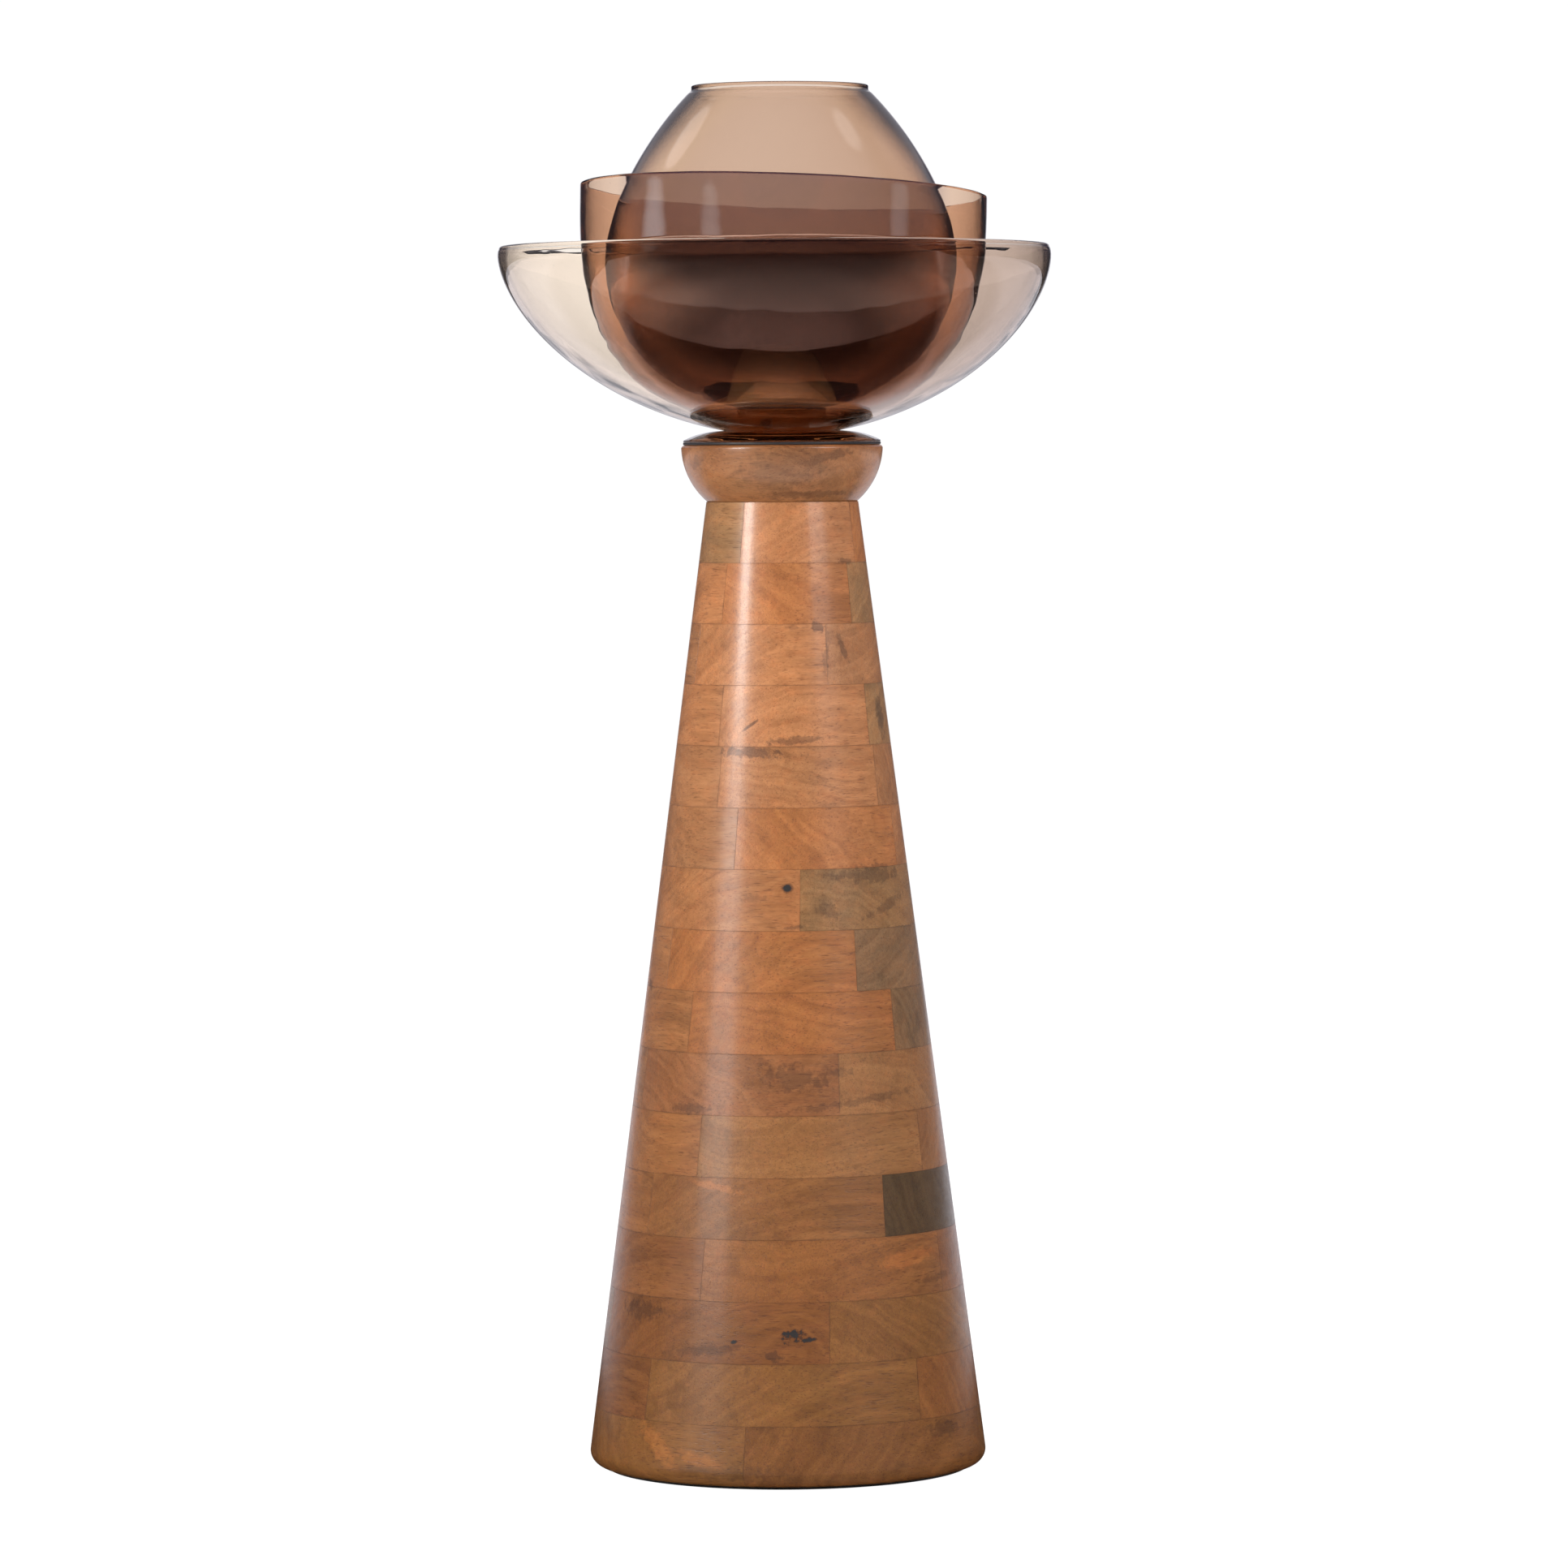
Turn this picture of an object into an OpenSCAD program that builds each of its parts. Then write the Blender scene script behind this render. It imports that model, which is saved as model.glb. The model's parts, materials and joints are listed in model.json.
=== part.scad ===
// Tall laminated-wood pedestal with a turned cup on top and three nested coloured-glass bowls.
// Millimetres, +Z up, origin on the floor at the pedestal's axis, -Y is the front.

/* [Pedestal] */
// Glued courses stacked in the pedestal
course_count = 16; // [12:1:16]
// Height of one course with its glue line
course_pitch = 43.625; // [40:0.125:46]
// Radius that the sloping side would have at the underside of the wood
base_r = 145; // [138:1:155]
// Radius at the top of the pedestal
top_r = 55; // [52:1:60]
// Rounding of the bottom edge
base_round = 10; // [6:1:14]
// Half the width of the square hollow in the bottom course
hollow_bottom = 36; // [30:1:44]
// Half the width of the square hollow in the top course
hollow_top = 8; // [7:1:10]
// Thickness of a glue line
glue_line = 0.2; // [0.1:0.05:0.4]

/* [Collar] */
// Height of the turned cup
collar_h = 41; // [38:1:46]
// Radius at the cup's top
collar_r = 73; // [70:1:76]
// Radius of the arc that the cup's side follows
collar_side_r = 54; // [52:1:58]

/* [Outer bowl] */
// Largest radius of the outer bowl
outer_r = 200; // [190:1:210]
// Height of its widest level above the gasket
outer_level = 134; // [130:1:140]
// Height of its rim above the widest level
outer_lip = 8; // [4:1:12]
// Wall thickness of the outer bowl
outer_wall = 5; // [4:0.5:6]

/* [Middle bowl] */
// Largest radius of the middle bowl
middle_r = 147; // [144:1:150]
// Height of its rim above the gasket, on the axis
middle_rim = 181; // [178:1:190]
// How far the hand-cut rim rises to the left, in degrees
rim_lean_left = 2.3; // [0:0.1:3]
// How far the hand-cut rim rises to the front, in degrees
rim_lean_front = 3.1; // [0:0.1:4]
// Wall thickness of the middle bowl
middle_wall = 3.5; // [3:0.5:4]

/* [Globe] */
// Largest radius of the globe
globe_r = 127; // [124:1:129]
// Height of its rim above the gasket
globe_rim = 257; // [250:1:262]
// Outer radius of its mouth
mouth_r = 64; // [62:1:68]
// Wall thickness of the globe
globe_wall = 3; // [2.5:0.5:3.5]

/* [Dish] */
// Rim radius of the dish that stands in the globe
dish_r = 56; // [50:1:57]
// Sheet thickness of the dish
dish_wall = 1.5; // [1:0.5:2]

/* [Hidden] */
$fn = 96;
arc_steps = 14; // straight pieces in a rounded corner
wall_steps = 30; // straight pieces in one half of a bowl's wall
big = 400; // larger than any radius here
dip = 0.02; // how far a cutter reaches past the face it opens

// Felt ring and closing plate under the pedestal
felt_h = 2;
felt_in_r = 92;
felt_out_r = 132;
cap_r = 60;
cap_h = 9;
cap_play = 0.3;
cap_screw_ring = 48;
cap_screws_n = 4;
cap_screw_turn = 63; // clear of the hollow's corners

// Levels, from the floor up
pedestal_top = felt_h + course_count * course_pitch;
collar_top = pedestal_top + collar_h;
gasket_h = 2;
seat = collar_top + gasket_h;

// Joint between collar and pedestal
dowel_r = 15;
dowel_down = 60;
dowel_up = 25;
screw_shank_r = 2.4;
screw_head_r = 5;
screw_head_h = 3;
collar_screw_ring = 37;
collar_screws_n = 3;
collar_screw_turn = 12; // clear of the top course's butt joints
collar_screw_l = 62;
cap_screw_l = 26;
collar_edge_round = 3;
gasket_in_r = 62;
gasket_out_r = 71.5;

// Each bowl wall is a superellipse: [radius, widest level, depth, radius power, depth power]
outer_z0 = seat + outer_level;
outer_out = [outer_r, outer_z0, 130, 1.88, 1.654];
outer_in = [outer_r - outer_wall, outer_z0, 125, 1.88, 1.654];
middle_z0 = seat + 170;
middle_out = [middle_r, middle_z0, 158.5, 2.5, 2.5];
middle_in = [middle_r - middle_wall, middle_z0, 154.5, 2.5, 2.5];
globe_z0 = seat + 136;
globe_out = [globe_r, globe_z0, 117, 1.9, 2.29];
globe_in = [globe_r - globe_wall, globe_z0, 114, 1.9, 2.29];
globe_top_out = [globe_r, globe_z0, 156, 1.53, 1.53];
globe_top_in = [globe_r - globe_wall, globe_z0, 153, 1.53, 1.53];

// Ground flats at the bottoms, above the point where each curve would close
outer_flat = seat + 5.5;
outer_floor = seat + 10.5;
middle_flat = seat + 13;
middle_floor = seat + 16.5;
globe_flat = seat + 20;
globe_floor = seat + 23;
middle_top = seat + middle_rim;
globe_top = seat + globe_rim;
neck_h = 6; // the short neck and its blend, below the globe's rim
neck_straight = 1.5; // the straight part of it

// Foot under the outer bowl
foot_r = 71.5;
foot_edge = 1.5;
foot_join_r = 42;
foot_recess_r = 58;
foot_recess = 1;

// Pads between the glass
pad_r = 20;
ring_major = 30;
ring_minor = 2.6;
dish_feet_n = 3;
dish_foot_r = 4;
dish_foot_ring = 22;
dish_rise = 1.5; // thickness of the pads under the dish
dish_foot_gap = 0.3; // clearance between those pads and the globe
dish_flat_r = 12;
dish_floor_r = 42;
dish_floor = seat + 32;
dish_rim = seat + 39;

// Where one joint of each course comes on the front, as a share of the course's radius
joint_share = [
    -0.22, -0.73, 0.23, -0.48, 0.58, 0.84, 0.35, 0.75,
    0.52, 0.12, -0.40, 0.82, 0.80, 0.45, -0.66, -0.50
];
wood_tones = ["peru", "sienna", "chocolate", "sandybrown"];

course_names = [for (i = [1 : course_count]) str("course_", i < 10 ? "0" : "", i)];

// ---- shared formulas ----

// Radius of the pedestal's side at a height
function side_r(z) = base_r + (top_r - base_r) * (z - felt_h) / (course_count * course_pitch);
// Radius of a bowl wall at a height
function wall_r(w, z) = w[0] * pow(max(0, 1 - pow(abs(z - w[1]) / w[2], w[4])), 1 / w[3]);
// Height of a bowl wall's underside at a radius
function wall_z(w, r) = w[1] - w[2] * pow(max(0, 1 - pow(r / w[0], w[3])), 1 / w[4]);
// Points along a wall from level a to level b, closer together towards a
function wall_points(w, a, b, n = wall_steps) =
    [for (k = [0 : n]) let (z = a + (b - a) * pow(k / n, 1.6)) [wall_r(w, z), z]];
// Points on an arc about a centre
function arc(c, r, from, to, n = arc_steps) =
    [for (k = [0 : n]) let (a = from + (to - from) * k / n) c + r * [cos(a), sin(a)]];
function reversed(p) = [for (k = [len(p) - 1 : -1 : 0]) p[k]];
function course_z(i) = felt_h + (i - 1) * course_pitch;
function hollow(i) = hollow_top + (hollow_bottom - hollow_top) * (course_count - i) / (course_count - 1);
function course_turn(i) = let (r = side_r(course_z(i) + course_pitch / 2))
    asin(joint_share[i - 1]) - asin(hollow(i) / r);
function turned(n, k, from = 0) = from + 360 * k / n;

// ---- pedestal ----

module felt_ring() {
    color("black") difference() {
        cylinder(h = felt_h, r = felt_out_r);
        translate([0, 0, -1]) cylinder(h = felt_h + 2, r = felt_in_r);
    }
}

// A countersunk wood screw with its head's top face at the origin, pointing down
module wood_screw(length) {
    rotate_extrude() polygon([
        [0, 0], [screw_head_r, 0], [screw_shank_r, -screw_head_h],
        [screw_shank_r, -length + 2 * screw_shank_r], [0, -length]
    ]);
}

// The space that a countersunk screw takes, open above its head
module screw_hole(length) {
    wood_screw(length);
    cylinder(h = 1, r = screw_head_r);
}

module cap_screw_places() {
    for (k = [0 : cap_screws_n - 1])
        rotate([0, 0, turned(cap_screws_n, k, cap_screw_turn)])
            translate([cap_screw_ring, 0, felt_h]) mirror([0, 0, 1]) children();
}

module collar_screw_places() {
    for (k = [0 : collar_screws_n - 1])
        rotate([0, 0, turned(collar_screws_n, k, collar_screw_turn)])
            translate([collar_screw_ring, 0, collar_top]) children();
}

module base_cap() {
    color("burlywood") difference() {
        translate([0, 0, felt_h]) cylinder(h = cap_h, r = cap_r);
        cap_screw_places() screw_hole(cap_screw_l);
    }
}

module base_cap_screws() {
    color("silver") cap_screw_places() wood_screw(cap_screw_l);
}

// The outside of one course, before it is cut into boards
module course_blank(i) {
    z = course_z(i);
    top = z + course_pitch - glue_line;
    if (i == 1) {
        lean = atan((base_r - top_r) / (course_count * course_pitch));
        centre = [side_r(z + base_round) - base_round / cos(lean), z + base_round];
        rotate_extrude() polygon(concat(
            [[0, z]], arc(centre, base_round, -90, lean), [[side_r(top), top], [0, top]]
        ));
    } else {
        translate([0, 0, z]) cylinder(h = top - z, r1 = side_r(z), r2 = side_r(top));
    }
}

// Region of one of the four boards, which butt round the square hollow like a pinwheel
module board_region(i, k) {
    c = hollow(i);
    rotate([0, 0, course_turn(i) + 90 * k])
        translate([-big, -big, -1])
            cube([big + c - glue_line / 2, big - c - glue_line / 2, pedestal_top + 2]);
}

module course(i) {
    color(wood_tones[(i * 7) % len(wood_tones)]) for (k = [0 : 3]) difference() {
        intersection() {
            course_blank(i);
            board_region(i, k);
        }
        if (i == 1) {
            translate([0, 0, -1]) cylinder(h = felt_h + cap_h + cap_play + 1, r = cap_r + cap_play);
            cap_screw_places() screw_hole(cap_screw_l);
        }
        if (i >= course_count - 1) {
            translate([0, 0, course_z(i) - 1]) cylinder(h = course_pitch + 2, r = dowel_r);
            collar_screw_places() screw_hole(collar_screw_l);
        }
    }
}

// ---- collar ----

module collar_dowel() {
    color("wheat") translate([0, 0, pedestal_top - dowel_down])
        cylinder(h = dowel_down + dowel_up, r = dowel_r);
}

module collar() {
    side_centre = [collar_r - collar_side_r, collar_top];
    foot_r_here = side_centre[0] + sqrt(pow(collar_side_r, 2) - pow(collar_h, 2));
    lowest = -asin(collar_h / collar_side_r);
    edge = [collar_r - collar_edge_round, collar_top - collar_edge_round];
    first = -asin(collar_edge_round / collar_side_r);
    color("peru") difference() {
        rotate_extrude() polygon(concat(
            [[0, pedestal_top], [foot_r_here, pedestal_top]],
            arc(side_centre, collar_side_r, lowest, first),
            arc(edge, collar_edge_round, 0, 90), [[0, collar_top]]
        ));
        translate([0, 0, pedestal_top - 1]) cylinder(h = dowel_up + 1, r = dowel_r);
        collar_screw_places() screw_hole(collar_screw_l);
    }
}

module collar_screws() {
    color("silver") collar_screw_places() wood_screw(collar_screw_l);
}

module seat_gasket() {
    color("black") translate([0, 0, collar_top]) difference() {
        cylinder(h = gasket_h, r = gasket_out_r);
        translate([0, 0, -1]) cylinder(h = gasket_h + 2, r = gasket_in_r);
    }
}

// ---- glass ----

// The outer bowl's underside from its flat out to the foot's edge, shared by bowl and foot
foot_contact = [for (k = [0 : 5]) let (
    r0 = wall_r(outer_out, outer_flat), r = r0 + (foot_join_r - r0) * k / 5
) [r, wall_z(outer_out, r)]];

module glass_foot() {
    join_z = wall_z(outer_out, foot_join_r);
    edge_z = seat + foot_edge;
    dome = [for (k = [1 : arc_steps]) let (
        t = k / arc_steps, r = foot_join_r + (foot_r - foot_join_r) * t
    ) [r, edge_z + (join_z - edge_z) * (1 - pow(t, 2.2))]];
    color("tan", 0.6) rotate_extrude() polygon(concat(
        [[0, outer_flat]], foot_contact, dome,
        [[foot_r, seat], [foot_recess_r, seat]],
        [[foot_recess_r - foot_recess, seat + foot_recess], [0, seat + foot_recess]]
    ));
}

module outer_bowl() {
    rim = outer_z0 + outer_lip;
    out_r = wall_r(outer_out, rim);
    lip_r = (out_r - wall_r(outer_in, rim)) / 2;
    foot_edge_z = wall_z(outer_out, foot_join_r);
    color("tan", 0.5) rotate_extrude() polygon(concat(
        [[0, outer_flat]], foot_contact,
        [for (p = wall_points(outer_out, foot_edge_z, outer_z0)) if (p[0] > foot_join_r) p],
        arc([out_r - lip_r, rim - lip_r], lip_r, 0, 180),
        reversed(wall_points(outer_in, outer_floor, outer_z0)),
        [[0, outer_floor]]
    ));
}

module lower_pad() {
    color("white", 0.4) translate([0, 0, outer_floor]) cylinder(h = middle_flat - outer_floor, r = pad_r);
}

module middle_bowl() {
    tall = middle_top + 20;
    color("sienna", 0.5) difference() {
        rotate_extrude() polygon(concat(
            [[0, middle_flat]],
            wall_points(middle_out, middle_flat, middle_z0),
            [[middle_r, tall], [middle_r - middle_wall, tall]],
            reversed(wall_points(middle_in, middle_floor, middle_z0)),
            [[0, middle_floor]]
        ));
        translate([0, 0, middle_top]) rotate([-rim_lean_front, rim_lean_left, 0])
            translate([-big / 2, -big / 2, 0]) cube([big, big, 60]);
    }
}

module cradle_ring() {
    centre_z = wall_z(middle_in, ring_major) + ring_minor + dip;
    color("white", 0.4) rotate_extrude() translate([ring_major, centre_z]) circle(r = ring_minor, $fn = 48);
}

module globe() {
    shoulder = globe_top - neck_h;
    outside = wall_r(globe_top_out, shoulder);
    inside = outside - globe_wall * 1.3;
    mouth_in = mouth_r - globe_wall;
    color("rosybrown", 0.5) rotate_extrude() polygon(concat(
        [[0, globe_flat]],
        wall_points(globe_out, globe_flat, globe_z0),
        reversed(wall_points(globe_top_out, shoulder, globe_z0 + 1)),
        neck_points(outside, shoulder, mouth_r),
        [[mouth_r, globe_top], [mouth_in, globe_top]],
        reversed(neck_points(inside, shoulder, mouth_in)),
        wall_points(globe_top_in, shoulder - 3, globe_z0 + 1),
        reversed(wall_points(globe_in, globe_floor, globe_z0)),
        [[0, globe_floor]]
    ));
}

// The blend from the globe's flank to its straight neck
function neck_points(from_r, from_z, to_r, n = 6) = [for (k = [1 : n]) let (t = k / n)
    [to_r + (from_r - to_r) * pow(1 - t, 1.7), from_z + (neck_h - neck_straight) * t]];

// ---- dish ----

// Height of the dish's underside, which follows the globe's floor a little above it
function dish_z(r) = max(globe_floor, wall_z(globe_in, r)) + dish_rise;

module candle_dish() {
    steps = 10;
    under = [for (k = [0 : steps]) let (r = dish_flat_r + (dish_r - dish_flat_r) * k / steps) [r, dish_z(r)]];
    color("black") rotate_extrude() polygon(concat(
        [[0, dish_z(0)]], under,
        [[dish_r, dish_rim], [dish_r - dish_wall, dish_rim], [dish_floor_r, dish_floor], [0, dish_floor]]
    ));
}

module dish_feet() {
    radii = [dish_foot_ring - dish_foot_r - 1 : 2 : dish_foot_ring + dish_foot_r + 1];
    lower = [for (r = radii) [r, wall_z(globe_in, r) + dish_foot_gap]];
    upper = [for (r = radii) [r, dish_z(r) - dip]];
    color("white", 0.4) for (k = [0 : dish_feet_n - 1]) rotate([0, 0, turned(dish_feet_n, k, 30)])
        intersection() {
            translate([dish_foot_ring, 0, globe_floor]) cylinder(h = 12, r = dish_foot_r);
            rotate_extrude() polygon(concat(lower, reversed(upper)));
        }
}

felt_ring();
base_cap();
base_cap_screws();
for (i = [1 : course_count])
    course(i);
collar_dowel();
collar();
collar_screws();
seat_gasket();
glass_foot();
outer_bowl();
lower_pad();
middle_bowl();
cradle_ring();
globe();
candle_dish();
dish_feet();
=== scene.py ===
import json
import math
import random

import bmesh
import bpy
from mathutils import Matrix, Vector, noise

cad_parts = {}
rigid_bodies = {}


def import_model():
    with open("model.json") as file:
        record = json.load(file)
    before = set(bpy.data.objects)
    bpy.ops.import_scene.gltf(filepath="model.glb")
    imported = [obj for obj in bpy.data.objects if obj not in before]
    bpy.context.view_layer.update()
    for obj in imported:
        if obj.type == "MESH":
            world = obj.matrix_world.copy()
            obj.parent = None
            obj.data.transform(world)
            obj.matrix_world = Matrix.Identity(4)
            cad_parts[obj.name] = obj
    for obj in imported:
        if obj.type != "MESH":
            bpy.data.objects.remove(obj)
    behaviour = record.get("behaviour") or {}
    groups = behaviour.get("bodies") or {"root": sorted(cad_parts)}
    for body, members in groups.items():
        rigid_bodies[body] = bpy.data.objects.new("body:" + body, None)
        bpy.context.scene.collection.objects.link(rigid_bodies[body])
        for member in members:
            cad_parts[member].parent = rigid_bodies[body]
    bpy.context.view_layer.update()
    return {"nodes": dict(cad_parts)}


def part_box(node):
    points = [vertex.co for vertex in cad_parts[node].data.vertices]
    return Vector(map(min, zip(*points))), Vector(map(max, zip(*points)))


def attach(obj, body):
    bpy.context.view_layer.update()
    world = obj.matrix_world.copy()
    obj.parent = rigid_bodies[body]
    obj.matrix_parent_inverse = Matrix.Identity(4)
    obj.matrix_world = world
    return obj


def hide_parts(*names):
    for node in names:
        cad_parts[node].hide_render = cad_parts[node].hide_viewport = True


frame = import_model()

SCENE = bpy.context.scene
MM = 0.001

# ---------------------------------------------------------------- sizes, from the frame

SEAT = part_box("seat_gasket")[1].z  # top of the gasket, where the outer bowl stands
COLLAR_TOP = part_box("collar")[1].z
PEDESTAL_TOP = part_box("collar")[0].z
FELT_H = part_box("felt_ring")[1].z
COURSES = sorted(n for n in frame["nodes"] if n.startswith("course_"))
COURSE_PITCH = (PEDESTAL_TOP - FELT_H) / len(COURSES)
BASE_R = 145 * MM  # where the sloping side would meet the underside
TOP_R = 55 * MM
BASE_ROUND = 10 * MM
GLUE = 0.04 * MM  # glue line between boards
EASED = 0.09 * MM  # sanded edge of a board
HOLLOW_BOTTOM = 36 * MM
HOLLOW_TOP = 8 * MM
DOWEL_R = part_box("collar_dowel")[1].x
CAP_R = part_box("base_cap")[1].x + 0.4 * MM
CAP_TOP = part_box("base_cap")[1].z + 0.3 * MM

# Where one butt joint of each course comes on the front, bottom course first, as a share of its radius
JOINT_SHARE = (-0.22, -0.73, 0.23, -0.48, 0.58, 0.84, 0.35, 0.75,
               0.52, 0.12, -0.40, 0.82, 0.80, 0.45, -0.66, -0.50)

# ---------------------------------------------------------------- node helpers


class Nodes:
    """A material's or the world's node tree, with short ways to add and join nodes."""

    def __init__(self, owner):
        owner.use_nodes = True
        self.tree = owner.node_tree
        self.tree.nodes.clear()

    def add(self, kind, inputs=None, **settings):
        n = self.tree.nodes.new("ShaderNode" + kind)
        for key, value in settings.items():
            setattr(n, key, value)
        for key, value in (inputs or {}).items():
            self.set(n.inputs[key], value)
        return n

    def set(self, socket, value):
        if isinstance(value, bpy.types.NodeSocket):
            self.tree.links.new(value, socket)
        else:
            socket.default_value = value

    def math(self, op, a, b=0.0, c=0.0, clamp=False):
        return self.add("Math", {0: a, 1: b, 2: c}, operation=op, use_clamp=clamp).outputs[0]

    def vec(self, op, a, b=(0, 0, 0)):
        n = self.add("VectorMath", {0: a, 1: b}, operation=op)
        return n.outputs["Value"] if op in ("LENGTH", "DISTANCE", "DOT_PRODUCT") else n.outputs["Vector"]

    def scale(self, vector, x, y, z):
        return self.vec("MULTIPLY", vector, (x, y, z))

    def noise(self, vector, scale, detail=2.0, rough=0.5, warp=0.0):
        return self.add("TexNoise", {"Vector": vector, "Scale": scale, "Detail": detail,
                                     "Roughness": rough, "Distortion": warp}).outputs["Fac"]

    def remap(self, value, lo, hi, to_lo=0.0, to_hi=1.0, smooth=True):
        sockets = {"Value": value, "From Min": lo, "From Max": hi, "To Min": to_lo, "To Max": to_hi}
        kind = "SMOOTHSTEP" if smooth else "LINEAR"
        return self.add("MapRange", sockets, interpolation_type=kind).outputs["Result"]

    def mix(self, factor, a, b, blend="MIX"):
        n = self.add("Mix", data_type="RGBA", blend_type=blend)
        self.set(n.inputs[0], factor)
        self.set(n.inputs[6], a)
        self.set(n.inputs[7], b)
        return n.outputs[2]

    def tinted(self, factor, colour, tint):
        """colour, multiplied by tint as far as factor goes from 0 to 1."""
        return self.mix(factor, colour, self.mix(1.0, colour, rgb(*tint), "MULTIPLY"))

    def product(self, *values):
        total = values[0]
        for value in values[1:]:
            total = self.math("MULTIPLY", total, value)
        return total

    def together(self, *shaders):
        """Adds shaders up."""
        total = shaders[0]
        for shader in shaders[1:]:
            total = self.add("AddShader", {0: total.outputs[0], 1: shader.outputs[0]})
        return total

    def attribute(self, name, output):
        return self.add("Attribute", attribute_name=name).outputs[output]

    def bump(self, height, distance, strength=1.0, normal=None):
        n = self.add("Bump", {"Height": height, "Distance": distance, "Strength": strength})
        if normal is not None:
            self.set(n.inputs["Normal"], normal)
        return n.outputs["Normal"]

    def place(self):
        return self.add("TexCoord").outputs["Object"]


def rgb(r, g, b):
    return (r, g, b, 1.0)


def new_material(name):
    material = bpy.data.materials.new(name)
    return material, Nodes(material)


def finish_material(t, shader, volume=None):
    out = t.add("OutputMaterial", {"Surface": shader.outputs[0]})
    if volume is not None:
        t.set(out.inputs["Volume"], volume.outputs[0])


# ---------------------------------------------------------------- wood

TONES = {
    "orange": (0.470, 0.200, 0.076),
    "deep_orange": (0.460, 0.178, 0.056),
    "tan": (0.450, 0.212, 0.086),
    "brown": (0.405, 0.180, 0.072),
    "red_brown": (0.400, 0.168, 0.070),
    "olive": (0.360, 0.184, 0.074),
    "grey": (0.310, 0.168, 0.082),
    "dark": (0.150, 0.092, 0.048),
    "umber": (0.355, 0.152, 0.056),
}

# Painted shade: courses 1 to 3 are darker and browner than those from 13 up, with a gradual change between,
# for the light that falls off towards the foot
PAINTED_FOOT_SHADE = (0.53, 0.46, 0.25)

# Four boards of each course, bottom course first: left of the front joint, right of it, back, far left
BOARD_TONES = (
    ("tan", "brown", "tan", "brown"),
    ("red_brown", "tan", "orange", "brown"),
    ("red_brown", "tan", "brown", "olive"),
    ("red_brown", "orange", "red_brown", "tan"),
    ("brown", "dark", "brown", "orange"),
    ("tan", "brown", "olive", "orange"),
    ("red_brown", "tan", "olive", "brown"),
    ("deep_orange", "grey", "brown", "orange"),
    ("deep_orange", "grey", "orange", "orange"),
    ("orange", "olive", "brown", "orange"),
    ("brown", "deep_orange", "orange", "grey"),
    ("orange", "brown", "orange", "brown"),
    ("orange", "olive", "brown", "orange"),
    ("orange", "brown", "olive", "brown"),
    ("orange", "deep_orange", "olive", "orange"),
    ("olive", "orange", "deep_orange", "brown"),
)

# Boards whose colour is blotched most
STAINED = ("olive", "grey", "dark")


def side_r(z):
    """Radius of the pedestal's side at height z."""
    return BASE_R + (TOP_R - BASE_R) * (z - FELT_H) / (PEDESTAL_TOP - FELT_H)


def on_side(share, course, up):
    """A point on the pedestal's front: share of the radius to the right, course, height in that course."""
    z = FELT_H + (course - 1 + up) * COURSE_PITCH
    r = side_r(z)
    return Vector((share * r, -math.sqrt(max(0.0, 1 - share * share)) * r, z))


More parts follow.
